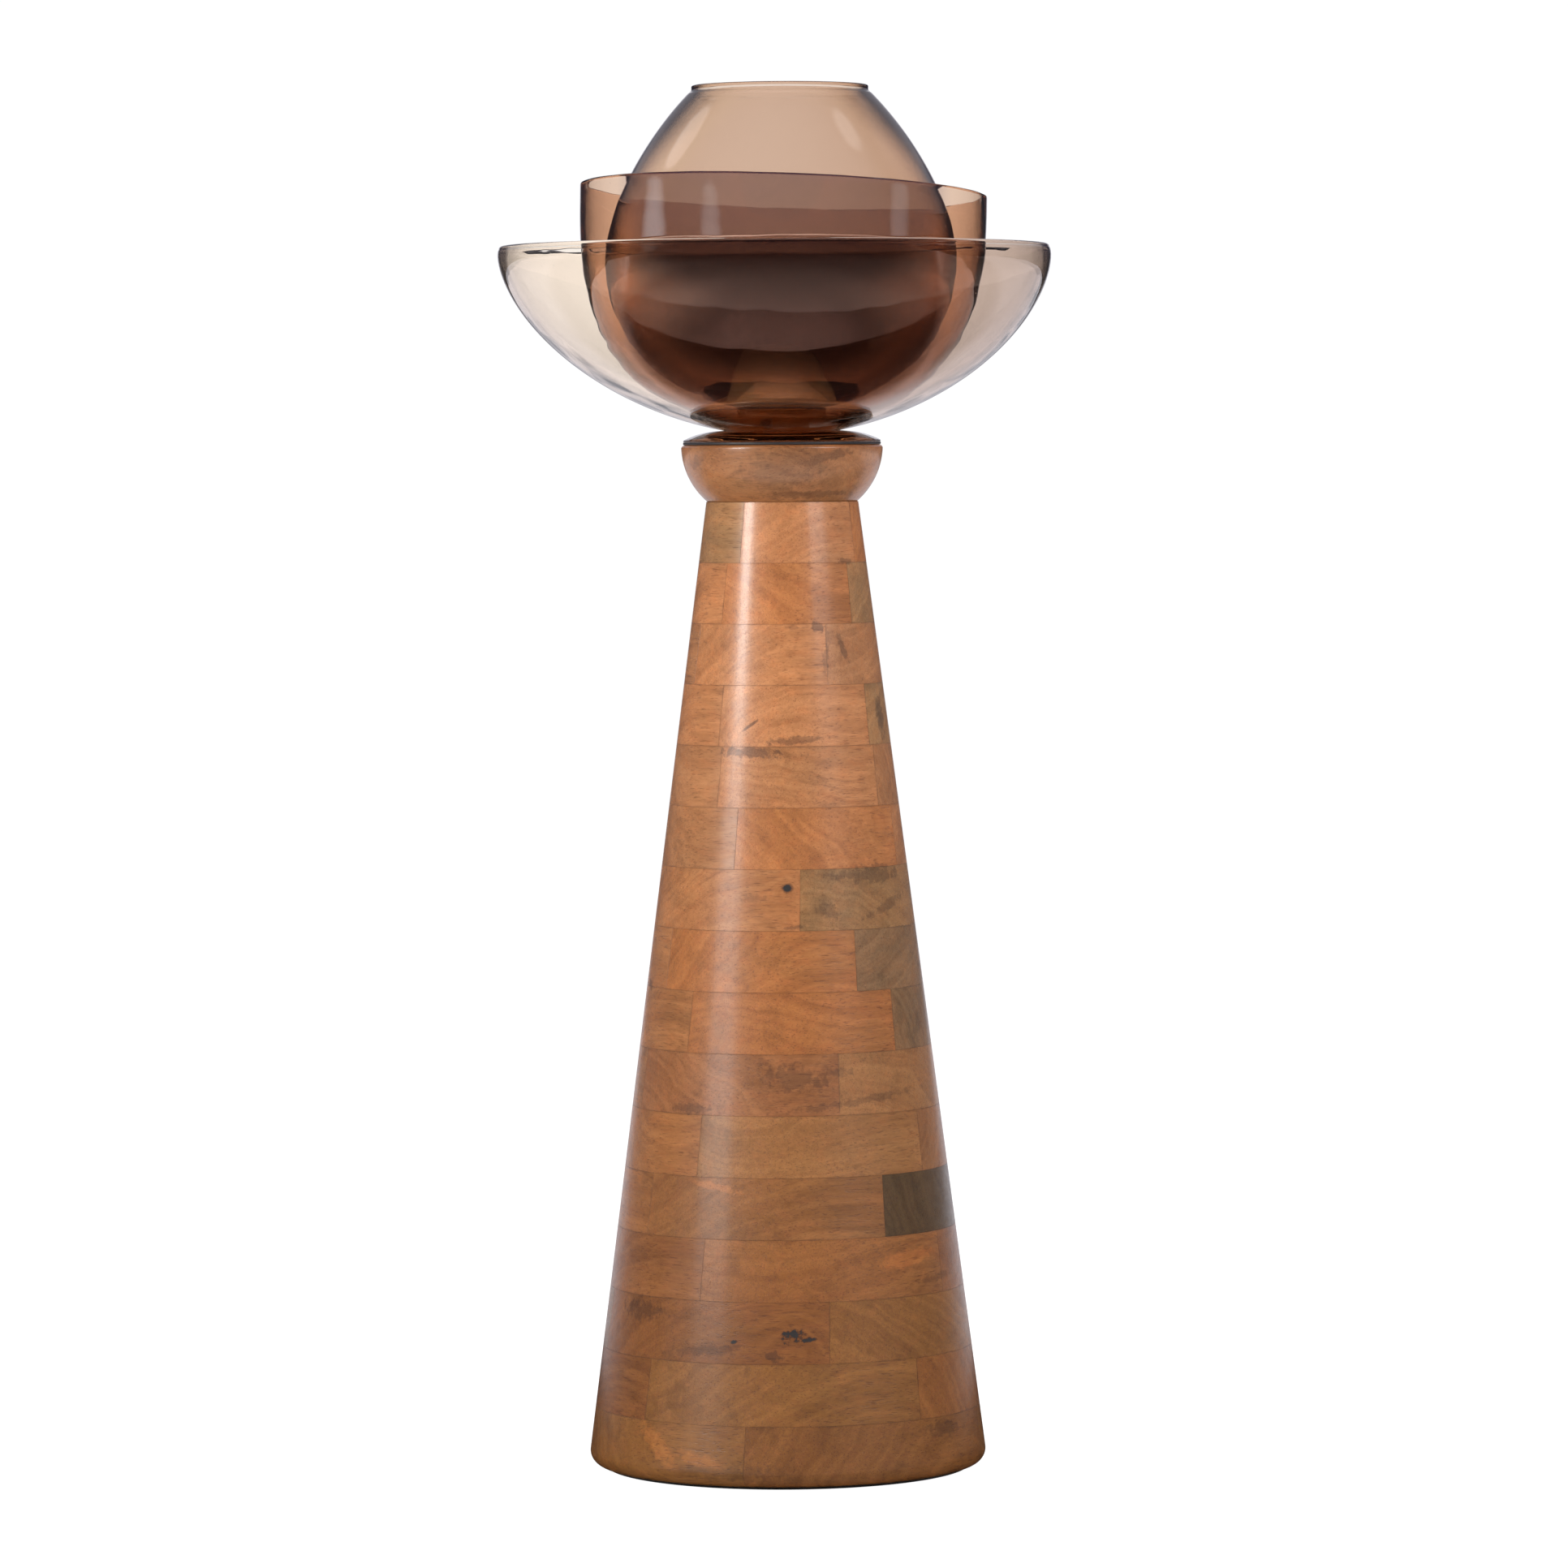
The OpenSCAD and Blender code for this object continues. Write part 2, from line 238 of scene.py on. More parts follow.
# Dark marks: (place, half length, half height, lean in degrees, depth, ragged)
MARKS = (
    (on_side(0.02, 10, 0.70), 4.2, 4.2, 0, 1.0, 0.3),
    (on_side(0.03, 3, 0.47), 8.0, 5.5, -15, 1.0, 1.0),
    (on_side(0.12, 3, 0.40), 7.0, 1.8, 8, 1.0, 0.9),
    (on_side(-0.29, 3, 0.36), 3.4, 1.6, 15, 1.0, 0.4),
    (on_side(-0.08, 3, 0.12), 7.0, 4.0, 0, 0.55, 1.0),
    (on_side(-0.32, 13, 0.34), 8.5, 1.1, 34, 0.75, 0.5),
    (on_side(0.10, 13, 0.10), 22.0, 2.6, 4, 0.55, 1.0),
    (on_side(-0.35, 12, 0.90), 26.0, 3.6, -2, 0.60, 1.0),
    (on_side(0.36, 14, 0.95), 6.0, 4.0, 0, 0.70, 1.0),
    (on_side(0.10, 14, 0.95), 9.0, 2.0, 0, 0.45, 1.0),
    (on_side(0.62, 14, 0.60), 2.5, 11.0, 20, 0.55, 0.9),
    (on_side(0.44, 14, 0.45), 2.5, 12.0, -8, 0.40, 0.9),
    (on_side(0.74, 16, 0.02), 9.0, 2.4, 0, 0.55, 0.8),
    (on_side(0.93, 13, 0.45), 7.0, 16.0, 0, 0.60, 0.7),
    (on_side(-0.25, 10, 0.52), 9.0, 3.0, 5, 0.30, 1.0),
    (on_side(0.08, 10, 0.06), 7.0, 1.6, 4, 0.50, 0.9),
    (on_side(0.70, 10, 0.88), 34.0, 6.5, 0, 0.50, 0.9),
    (on_side(0.80, 10, 0.36), 26.0, 4.0, 18, 0.45, 0.9),
    (on_side(0.34, 10, 0.30), 10.0, 5.5, -30, 0.40, 1.0),
    (on_side(0.05, 7, 0.62), 24.0, 9.0, -12, 0.45, 1.0),
    (on_side(0.35, 7, 0.70), 12.0, 4.0, 0, 0.40, 1.0),
    (on_side(0.50, 7, 0.22), 55.0, 3.0, 6, 0.40, 1.0),
    (on_side(-0.62, 7, 0.10), 16.0, 3.5, 0, 0.45, 1.0),
    (on_side(-0.80, 3, 0.78), 22.0, 8.0, 0, 0.50, 1.0),
    (on_side(-0.45, 3, 0.20), 34.0, 4.0, 4, 0.40, 1.0),
    (on_side(-0.30, 1, 0.25), 40.0, 6.0, 0, 0.30, 1.0),
    (on_side(0.80, 1, 0.80), 22.0, 6.0, 0, 0.35, 1.0),
    (on_side(0.85, 4, 0.25), 22.0, 3.0, 4, 0.35, 1.0),
    (on_side(-0.97, 9, 0.05), 5.0, 5.0, 0, 0.50, 1.0),
    (Vector((0.030, -0.063, COLLAR_TOP - 9 * MM)), 26.0, 4.0, 14, 0.50, 0.9),
    (Vector((-0.062, -0.032, COLLAR_TOP - 12 * MM)), 12.0, 5.0, 0, 0.25, 1.0),
    (Vector((0.020, -0.060, COLLAR_TOP - 36 * MM)), 34.0, 3.0, 2, 0.45, 0.9),
    (Vector((0.002, -0.072, COLLAR_TOP - 18 * MM)), 34.0, 17.0, 10, 0.34, 0.7),
)

# Places where the grain swirls round a knot: (place, reach, push)
SWIRLS = (
    (on_side(0.02, 10, 0.70), 16.0, 9.0),
    (on_side(0.05, 3, 0.45), 30.0, 14.0),
    (on_side(0.52, 14, 0.62), 16.0, 16.0),
    (on_side(0.80, 11, 0.45), 26.0, 10.0),
    (on_side(0.05, 7, 0.50), 40.0, 14.0),
    (on_side(-0.60, 1, 0.60), 34.0, 16.0),
    (on_side(0.80, 4, 0.50), 30.0, 12.0),
    (Vector((0.040, -0.055, COLLAR_TOP - 18 * MM)), 24.0, 12.0),
)

# Bright figured patches: (place, half length, half height, lean)
BRIGHT = (
    (on_side(-0.66, 1, 0.62), 26.0, 7.0, -38),
    (on_side(-0.44, 1, 0.42), 20.0, 5.0, -12),
    (on_side(-0.45, 5, 0.86), 22.0, 3.0, -10),
    (on_side(0.70, 4, 0.62), 26.0, 7.0, 6),
)


PATCH_REACH = 60 * MM  # how far a patch goes into the wood, so that it stays on its own side
PATCH_CORE = 0.55  # share of its half size up to which a patch is at its fullest
PATCH_END = 1.15


def patch(t, place, centre, half_length, half_height, lean, ragged_by):
    """1 at the middle of a slanting patch on the front, falling to 0 at its ragged edge."""
    azimuth = math.atan2(centre.x, -centre.y)
    to_front = {"Vector": place, "Center": centre, "Axis": (0, 0, 1), "Angle": -azimuth}
    offset = t.vec("SUBTRACT", t.add("VectorRotate", to_front).outputs[0], centre)
    to_level = {"Vector": offset, "Axis": (0, 1, 0), "Angle": math.radians(lean)}
    level = t.add("VectorRotate", to_level).outputs[0]
    scaled = t.scale(level, 1 / (half_length * MM), 1 / PATCH_REACH, 1 / (half_height * MM))
    distance = t.math("ADD", t.vec("LENGTH", scaled), ragged_by)
    return t.remap(distance, PATCH_CORE, PATCH_END, 1.0, 0.0)


def largest(t, values):
    total = values[0]
    for value in values[1:]:
        total = t.math("MAXIMUM", total, value)
    return total


def board_noise(t, grain, along, across, detail=2.0, rough=0.5, warp=0.0):
    """Noise with its own scale along the fibres and across them."""
    return t.noise(t.scale(grain, along, across, across), 1.0, detail, rough, warp)


RINGS_PER_METRE = 150.0  # broad bands of growth
LINES_PER_METRE = 330.0  # fine dark lines between them
DEEP_BAND = (0.84, 0.80, 0.75)
PALE_BAND = (1.09, 1.10, 1.10)
LINE_TINT = (0.52, 0.42, 0.34)
STREAK_TINT = (0.74, 0.68, 0.62)
STAIN_TINT = (0.72, 0.79, 0.84)
CLOUD_TINT = (0.72, 0.70, 0.66)
WARM_TINT = (1.12, 0.98, 0.82)
PORE_TINT = (0.46, 0.38, 0.32)
SPECKLE_TINT = (0.76, 0.72, 0.68)
MARK_TINT = (0.26, 0.25, 0.27)
FIGURE_TINT = (1.55, 1.40, 1.22)
HOLE_COLOUR = rgb(0.022, 0.019, 0.018)
GLUE_COLOUR = rgb(0.050, 0.024, 0.013)


def growth_rings(t, grain, place):
    """Distance from a pith that each board keeps somewhere outside itself, in wandering metres."""
    wander = board_noise(t, grain, 5.0, 16.0, 3.0, 0.55)
    fine_wander = board_noise(t, grain, 22.0, 90.0, 2.0, 0.5)
    parts = t.add("SeparateXYZ", {0: grain})
    across = t.math("POWER", parts.outputs["Y"], 2.0)
    up = t.math("POWER", parts.outputs["Z"], 2.0)
    ring = t.math("SQRT", t.math("ADD", across, up))
    ring = t.math("MULTIPLY_ADD", wander, 30 * MM, ring)
    ring = t.math("MULTIPLY_ADD", fine_wander, 2.2 * MM, ring)
    for centre, reach, push in SWIRLS:
        away = t.vec("DISTANCE", place, centre)
        swell = t.remap(away, 0.0, reach * MM, push * MM, 0.0)
        ring = t.math("ADD", ring, swell)
    return ring


def wood_material():
    """Lacquered, laminated hardwood. The attribute grain holds each board's own axes: along, across, up."""
    material, t = new_material("lacquered_wood")
    grain = t.attribute("grain", "Vector")
    tone = t.attribute("tone", "Color")
    edge = t.attribute("edge", "Fac")
    stain = t.attribute("stain", "Fac")
    place = t.place()

    ring = growth_rings(t, grain, place)
    spread = t.add("CombineXYZ", {0: t.math("MULTIPLY", ring, RINGS_PER_METRE), 1: stain, 2: 0.0})
    bands = t.noise(spread.outputs[0], 1.0, 3.0, 0.62)
    lines = t.math("PINGPONG", t.math("MULTIPLY", ring, LINES_PER_METRE), 1.0)
    lines = t.remap(lines, 0.0, 0.42, 1.0, 0.0)
    line_weight = t.remap(board_noise(t, grain, 9.0, 30.0), 0.42, 0.68)

    # pores are short dark dashes along the grain and dots on the end grain
    pores = t.remap(board_noise(t, grain, 90.0, 1100.0, 2.0, 0.6), 0.55, 0.68)
    streaks = board_noise(t, grain, 14.0, 420.0, 3.0, 0.6)
    blotch = board_noise(t, grain, 9.0, 24.0, 4.0, 0.6, 0.6)
    mottle = board_noise(t, grain, 60.0, 160.0, 3.0, 0.6)
    cloud = board_noise(t, grain, 26.0, 55.0, 4.0, 0.65, 0.8)
    speckle = board_noise(t, grain, 300.0, 900.0, 2.0, 0.7)

    deep = t.mix(1.0, tone, rgb(*DEEP_BAND), "MULTIPLY")
    pale = t.mix(1.0, tone, rgb(*PALE_BAND), "MULTIPLY")
    colour = t.mix(t.remap(bands, 0.30, 0.72), deep, pale)
    line_colour = t.mix(1.0, tone, rgb(*LINE_TINT), "MULTIPLY")
    colour = t.mix(t.product(lines, line_weight, 0.24), colour, line_colour)
    colour = t.tinted(t.remap(streaks, 0.36, 0.66, 0.0, 0.44), colour, STREAK_TINT)
    colour = t.tinted(t.product(t.remap(blotch, 0.44, 0.66), stain, 0.85), colour, STAIN_TINT)
    colour = t.tinted(t.remap(cloud, 0.48, 0.68, 0.0, 0.6), colour, CLOUD_TINT)
    colour = t.tinted(t.remap(mottle, 0.45, 0.70, 0.0, 0.55), colour, WARM_TINT)
    colour = t.tinted(t.math("MULTIPLY", pores, 0.60), colour, PORE_TINT)
    colour = t.tinted(t.remap(speckle, 0.35, 0.70, 0.0, 0.40), colour, SPECKLE_TINT)

    # dark marks, knots and bright figure
    rag = t.remap(t.noise(place, 190.0, 4.0, 0.65), 0.25, 0.75, -0.85, 0.85, smooth=False)
    spots = []
    for *item, depth, ragged in MARKS:
        spot = patch(t, place, *item, t.math("MULTIPLY", rag, ragged))
        spots.append(t.math("MULTIPLY", spot, depth))
    dark = largest(t, spots)
    colour = t.tinted(t.math("MINIMUM", dark, 0.8), colour, MARK_TINT)
    colour = t.mix(t.remap(dark, 0.80, 1.0), colour, HOLE_COLOUR)
    soft_rag = t.math("MULTIPLY", rag, 0.6)
    shine = largest(t, [patch(t, place, *item, soft_rag) for item in BRIGHT])
    colour = t.tinted(t.math("MULTIPLY", shine, 0.7), colour, FIGURE_TINT)

    # glue lines, darkened a little way either side
    joint_darkening = t.remap(t.noise(place, 60.0, 3.0), 0.35, 0.65, 0.35, 1.0)
    colour = t.mix(t.product(edge, joint_darkening, 0.55), colour, GLUE_COLOUR)

    # lacquer with brush-fine waviness, sunk a little into the pores
    height = t.math("MULTIPLY_ADD", pores, -0.30, t.math("MULTIPLY", streaks, 0.10))
    normal = t.bump(height, 0.25 * MM, 0.8)
    normal = t.bump(t.noise(t.scale(place, 40.0, 40.0, 230.0), 1.0, 2.0), 0.4 * MM, 0.30, normal)
    roughness = t.math("ADD", t.remap(mottle, 0.3, 0.7, 0.36, 0.46), t.math("MULTIPLY", dark, 0.12))
    shader = t.add("BsdfPrincipled", {"Base Color": colour, "Roughness": roughness, "Normal": normal,
                                      "Specular IOR Level": 0.45, "Coat Weight": 0.60,
                                      "Coat Roughness": 0.19, "IOR": 1.5})
    finish_material(t, shader)
    return material


# ---------------------------------------------------------------- other materials


BOWL_FLOOR = (SEAT + 50 * MM, SEAT + 120 * MM)  # downwards between these levels the smoke and its painted shade spread wider
FOOT_LEVELS = (SEAT + 14 * MM, SEAT + 40 * MM)  # and downwards between these it ends
NECK_LEVELS = (SEAT + 190 * MM, SEAT + 235 * MM)  # upwards between these the painted dark outline gets broader
SIDE_SHADE_SPAN = (-100 * MM, 160 * MM)  # painted shade: the glass turns darker and greyer from left to right over this width
RIM_END = 0.96  # how far a wall turns away where its painted dark outline is darkest


def glass_material(name, passes, wall, left_lit_tint, right_shade_tint, edge, outline_shade_from, wave, smoke_and_shade, smoke_and_shade_ends, gloss,
                   lustre=0.0):
    """Tinted glass. passes is what one wall of that thickness lets through, edge the colour of its painted
    dark outline, and the left and right tints a painted shade that darkens it from the lit left to the
    shaded right. The smoke colour is partly the glass's own smoky tint and partly painted shade where the
    glass is seen face on, gloss how strongly it mirrors there, and lustre how much the stained part mirrors
    besides."""
    material, t = new_material(name)
    density = max(-math.log(p) for p in passes) / wall * 1.02
    colour = [1 + math.log(p) / wall / density for p in passes]
    absorb = t.add("VolumeAbsorption", {"Color": rgb(*colour), "Density": density})
    facing = t.add("LayerWeight", {"Blend": 0.5}).outputs["Facing"]
    place = t.place()
    where = t.add("SeparateXYZ", {0: place}).outputs

    # smoke, partly the glass's own colour and partly painted shade where the glass is seen face on, only
    # where a ray enters the glass
    low = t.remap(where["Z"], *BOWL_FLOOR, 1.0, 0.0)
    stain = t.remap(t.math("MULTIPLY_ADD", low, -0.30, facing), *smoke_and_shade_ends, 1.0, 0.0)
    entering = t.math("SUBTRACT", 1.0, t.add("NewGeometry").outputs["Backfacing"])
    stain = t.math("MULTIPLY", stain, entering)
    off_foot = t.math("SUBTRACT", 1.0, t.remap(where["Z"], *FOOT_LEVELS, 1.0, 0.0))
    # painted shade: the glass is tinted lighter and warmer on the lit left, darker and greyer on the shaded
    # right
    side_shade_tint = t.mix(t.remap(where["X"], *SIDE_SHADE_SPAN), rgb(*left_lit_tint), rgb(*right_shade_tint))
    tint = t.mix(t.math("MULTIPLY", stain, off_foot), side_shade_tint, rgb(*smoke_and_shade))

    # painted shade: a dark outline where the wall is seen edge on
    high = t.remap(where["Z"], *NECK_LEVELS)
    tint = t.mix(t.remap(t.math("MULTIPLY_ADD", high, 0.15, facing), outline_shade_from, RIM_END), tint, rgb(*edge))

    coat = t.product(stain, lustre, t.attribute("lustre", "Fac")) if lustre else 0.0
    ripple = t.noise(t.scale(place, 14.0, 14.0, 22.0), 1.0, 2.0, 0.45)
    seeds = t.noise(place, 520.0, 1.0, 0.4)
    height = t.math("ADD", ripple, t.remap(seeds, 0.76, 0.80, 0.0, 0.03))
    normal = t.bump(height, wave, 1.0)
    body = t.add("BsdfPrincipled", {"Base Color": tint, "Roughness": 0.0, "IOR": 1.50, "Normal": normal,
                                    "Transmission Weight": 1.0, "Specular Tint": rgb(gloss, gloss, gloss),
                                    "Coat Weight": coat, "Coat IOR": 4.0, "Coat Roughness": 0.0,
                                    "Coat Normal": normal})
    path = t.add("LightPath").outputs
    lamp = t.math("MAXIMUM", path["Is Shadow Ray"], path["Is Diffuse Ray"])
    clear = t.add("BsdfTransparent", {"Color": rgb(1.0, 0.99, 0.98)})
    shader = t.add("MixShader", {0: lamp, 1: body.outputs[0], 2: clear.outputs[0]})
    finish_material(t, shader, absorb)
    return material


def principled(material, t, colour, roughness, normal, **others):
    """Ends a material with a Principled surface and returns it."""
    sockets = {"Base Color": colour, "Roughness": roughness, "Normal": normal}
    sockets.update({name.replace("_", " "): value for name, value in others.items()})
    finish_material(t, t.add("BsdfPrincipled", sockets))
    return material


def rubber_material():
    material, t = new_material("black_rubber")
    speck = t.noise(t.place(), 900.0, 2.0)
    colour = t.mix(speck, rgb(0.012, 0.012, 0.014), rgb(0.030, 0.030, 0.034))
    roughness = t.remap(speck, 0.3, 0.7, 0.38, 0.55)
    return principled(material, t, colour, roughness, t.bump(speck, 0.1 * MM, 0.5))


def felt_material():
    material, t = new_material("pressed_felt")
    fibres = t.noise(t.scale(t.place(), 900.0, 900.0, 300.0), 1.0, 4.0, 0.7, 1.5)
    colour = t.mix(fibres, rgb(0.006, 0.006, 0.007), rgb(0.035, 0.034, 0.036))
    return principled(material, t, colour, 0.95, t.bump(fibres, 0.3 * MM, 0.8), Sheen_Weight=0.3)


def enamel_material():
    material, t = new_material("black_enamel")
    place = t.place()
    peel = t.noise(place, 320.0, 2.0)
    dust = t.remap(t.noise(place, 1300.0, 2.0), 0.66, 0.72)
    colour = t.mix(t.math("MULTIPLY", dust, 0.5), rgb(0.006, 0.006, 0.007), rgb(0.06, 0.055, 0.05))
    roughness = t.remap(peel, 0.3, 0.7, 0.32, 0.46)
    return principled(material, t, colour, roughness, t.bump(peel, 0.15 * MM, 0.5))


def zinc_material():
    material, t = new_material("zinc_plate")
    place = t.place()
    brushed = t.noise(t.scale(place, 2500.0, 300.0, 300.0), 1.0, 2.0)
    colour = t.mix(t.noise(place, 300.0, 3.0), rgb(0.42, 0.43, 0.44), rgb(0.66, 0.65, 0.60))
    roughness = t.remap(brushed, 0.3, 0.7, 0.25, 0.45)
    return principled(material, t, colour, roughness, t.bump(brushed, 0.05 * MM, 0.5), Metallic=1.0)


def plain_wood_material(name, pale, deep, axis_scale):
    """Raw wood, its fibres along the axis that axis_scale stretches."""
    material, t = new_material(name)
    place = t.place()
    fibres = t.noise(t.scale(place, *axis_scale), 1.0, 4.0, 0.6, 0.4)
    flecks = t.remap(t.noise(t.scale(place, *[2.4 * s for s in axis_scale]), 1.0, 2.0), 0.60, 0.70)
    colour = t.mix(t.remap(fibres, 0.3, 0.7), pale, deep)
    colour = t.tinted(t.math("MULTIPLY", flecks, 0.4), colour, (0.6, 0.5, 0.4))
    roughness = t.remap(fibres, 0.3, 0.7, 0.60, 0.78)
    return principled(material, t, colour, roughness, t.bump(fibres, 0.2 * MM, 0.5))


def silicone_material():
    material, t = new_material("clear_silicone")
    haze = t.noise(t.place(), 240.0, 2.0)
    colour = t.mix(haze, rgb(0.86, 0.86, 0.84), rgb(0.94, 0.94, 0.93))
    bump = t.bump(haze, 0.1 * MM, 0.4)
    return principled(material, t, colour, 0.22, bump, IOR=1.41, Transmission_Weight=0.9)


WOOD = wood_material()
OUTER_GLASS = glass_material(
    "amber_glass", passes=(0.992, 0.955, 0.915), wall=5 * MM, left_lit_tint=(1.0, 0.965, 0.925),
    right_shade_tint=(0.77, 0.70, 0.665), edge=(0.02, 0.018, 0.025), outline_shade_from=0.82, wave=0.8 * MM,
    smoke_and_shade=(0.105, 0.085, 0.09), smoke_and_shade_ends=(0.08, 0.25), gloss=0.35)
MIDDLE_GLASS = glass_material(
    "smoke_glass", passes=(0.89, 0.69, 0.56), wall=3.5 * MM, left_lit_tint=(1.0, 1.0, 1.0),
    right_shade_tint=(0.99, 0.98, 0.97), edge=(0.02, 0.02, 0.03), outline_shade_from=0.70, wave=0.8 * MM,
    smoke_and_shade=(0.64, 0.68, 0.86), smoke_and_shade_ends=(0.25, 0.45), gloss=1.0, lustre=1.0)
GLOBE_GLASS = glass_material(
    "rose_glass", passes=(0.89, 0.74, 0.62), wall=3 * MM, left_lit_tint=(1.0, 1.0, 1.0),
    right_shade_tint=(0.88, 0.83, 0.80), edge=(0.006, 0.006, 0.012), outline_shade_from=0.52, wave=0.6 * MM,
    smoke_and_shade=(0.94, 0.93, 0.97), smoke_and_shade_ends=(0.25, 0.45), gloss=1.0)
RUBBER = rubber_material()
FELT = felt_material()
ENAMEL = enamel_material()
ZINC = zinc_material()
PLYWOOD = plain_wood_material("birch_plywood", rgb(0.62, 0.46, 0.29), rgb(0.46, 0.31, 0.18),
                              (20.0, 420.0, 420.0))
BEECH = plain_wood_material("beech_dowel", rgb(0.64, 0.44, 0.28), rgb(0.50, 0.32, 0.19),
                            (500.0, 500.0, 30.0))
SILICONE = silicone_material()

# ---------------------------------------------------------------- mesh helpers


def mesh_from(bm, name):
    mesh = bpy.data.meshes.new(name)
    bm.to_mesh(mesh)
    bm.free()
    return mesh


def add_piece(name, mesh, material, body, replaced=(), smooth_angle=40):
    """Puts a mesh in the scene as a piece that rides on a body."""
    mesh.materials.append(material)
    for polygon in mesh.polygons:
        polygon.use_smooth = True
    mesh.set_sharp_from_angle(angle=math.radians(smooth_angle))
    piece = bpy.data.objects.new(name, mesh)
    SCENE.collection.objects.link(piece)
    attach(piece, body)
    if replaced:
        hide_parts(*replaced)
    return piece


def lathe(name, profile, segments=192, warp=None):
    """A closed profile of (r, z) points turned round +Z. Points on the axis become poles."""
    bm = bmesh.new()
    rings = []
    for r, z in profile:
        if r < 1e-6:
            rings.append([bm.verts.new((0, 0, z))])
            continue
        ring = []
        for k in range(segments):
            a = 2 * math.pi * k / segments
            radius, height = warp(a, r, z) if warp else (r, z)
            ring.append(bm.verts.new((radius * math.cos(a), radius * math.sin(a), height)))
        rings.append(ring)
    closed = len(rings[0]) > 1 or len(rings[-1]) > 1
    pairs = list(zip(rings, rings[1:])) + ([(rings[-1], rings[0])] if closed else [])
    for a, b in pairs:
        for k in range(segments):
            j = (k + 1) % segments
            corners = [a[k % len(a)], a[j % len(a)], b[j % len(b)], b[k % len(b)]]
            unique = list(dict.fromkeys(corners))
            if len(unique) > 2:
                bm.faces.new(unique)
    bmesh.ops.recalc_face_normals(bm, faces=bm.faces)
    return mesh_from(bm, name)


def arc(r, z, radius, start, end, steps=6):
    """Points on an arc about (r, z), angles in degrees, 0 outwards and 90 up."""
    angles = [math.radians(start + (end - start) * k / steps) for k in range(steps + 1)]
    return [(r + radius * math.cos(a), z + radius * math.sin(a)) for a in angles]


class Wall:
    """A bowl wall: a superellipse with its widest level at z0."""

    def __init__(self, radius, z0, depth, radius_power, depth_power):
        self.radius, self.z0, self.depth = radius, z0, depth
        self.radius_power, self.depth_power = radius_power, depth_power

    def r(self, z):
        t = min(1.0, abs(z - self.z0) / self.depth)
        return self.radius * (1 - t ** self.depth_power) ** (1 / self.radius_power)

    def z(self, r):
        return self.z0 - self.depth * (1 - (r / self.radius) ** self.radius_power) ** (1 / self.depth_power)

    def points(self, start, end, steps=48):
        """Points from one level to another, closer together near the start."""
        levels = [start + (end - start) * (k / steps) ** 1.6 for k in range(steps + 1)]
        return [(self.r(z), z) for z in levels]


def wobble(seed, amount):
    """Hand-blown unevenness of a radius, in metres."""
    def shift(a, z):
        p = Vector((math.cos(a) * 2.0, math.sin(a) * 2.0, z * 14.0 + seed))
        return amount * noise.noise(p)
    return shift


def lean(mesh, base, slope):
    """Blown glass that stands a little off centre: shifts it along X, more the higher above base."""
    for v in mesh.vertices:
        v.co.x += slope * max(0.0, v.co.z - base)


# ---------------------------------------------------------------- pedestal boards


DARK_WIDTH = 1.2 * MM  # how far the darkening along a glue line reaches
HALF_DARK = 0.45  # darkness where a board's edge is eased


def joint_turn(course):
    """Turn about +Z that brings a course's front joint to its place."""
    middle = side_r(FELT_H + (course - 0.5) * COURSE_PITCH)
    return math.asin(JOINT_SHARE[course - 1]) - math.asin(hollow(course) / middle)


def hollow(course):
    """Half the width of the square hollow in a course."""
    last = len(COURSES)
    return HOLLOW_TOP + (HOLLOW_BOTTOM - HOLLOW_TOP) * (last - course) / (last - 1)


def board_levels(course):
    """(height, side radius, bore radius, edge darkness) from a course's bottom to its top."""
    z0 = FELT_H + (course - 1) * COURSE_PITCH
    z1 = z0 + COURSE_PITCH - GLUE
    bore = DOWEL_R + 0.05 * MM if course >= len(COURSES) - 1 else 0.0
    levels = []
    if course == 1:
        slope = math.atan((BASE_R - TOP_R) / (PEDESTAL_TOP - FELT_H))
        centre_r = side_r(z0 + BASE_ROUND) - BASE_ROUND / math.cos(slope)
        curve = arc(centre_r, z0 + BASE_ROUND, BASE_ROUND, -90, math.degrees(slope), 14)
        shelf = False
        for r, z in curve:
            if z > CAP_TOP and not shelf:
                share_r = side_r(CAP_TOP) - 0.2 * MM
                levels += [(CAP_TOP, share_r, CAP_R, 0.0), (CAP_TOP, share_r, bore, 0.0)]
                shelf = True
            levels.append((z, r, bore if shelf else CAP_R, 0.0))
    else:
        levels += [(z0, side_r(z0) - EASED, bore, 1.0), (z0 + EASED, side_r(z0 + EASED), bore, HALF_DARK)]
        levels.append((z0 + DARK_WIDTH, side_r(z0 + DARK_WIDTH), bore, 0.0))
    for k in range(1, 12):
        z = z0 + (z1 - z0) * k / 12
        if z > levels[-1][0] + 1 * MM:
            levels.append((z, side_r(z), bore, 0.0))
    levels.append((z1 - DARK_WIDTH, side_r(z1 - DARK_WIDTH), bore, 0.0))
    levels.append((z1 - EASED, side_r(z1 - EASED), bore, HALF_DARK))
    levels.append((z1, side_r(z1) - EASED, bore, 1.0))
    return levels


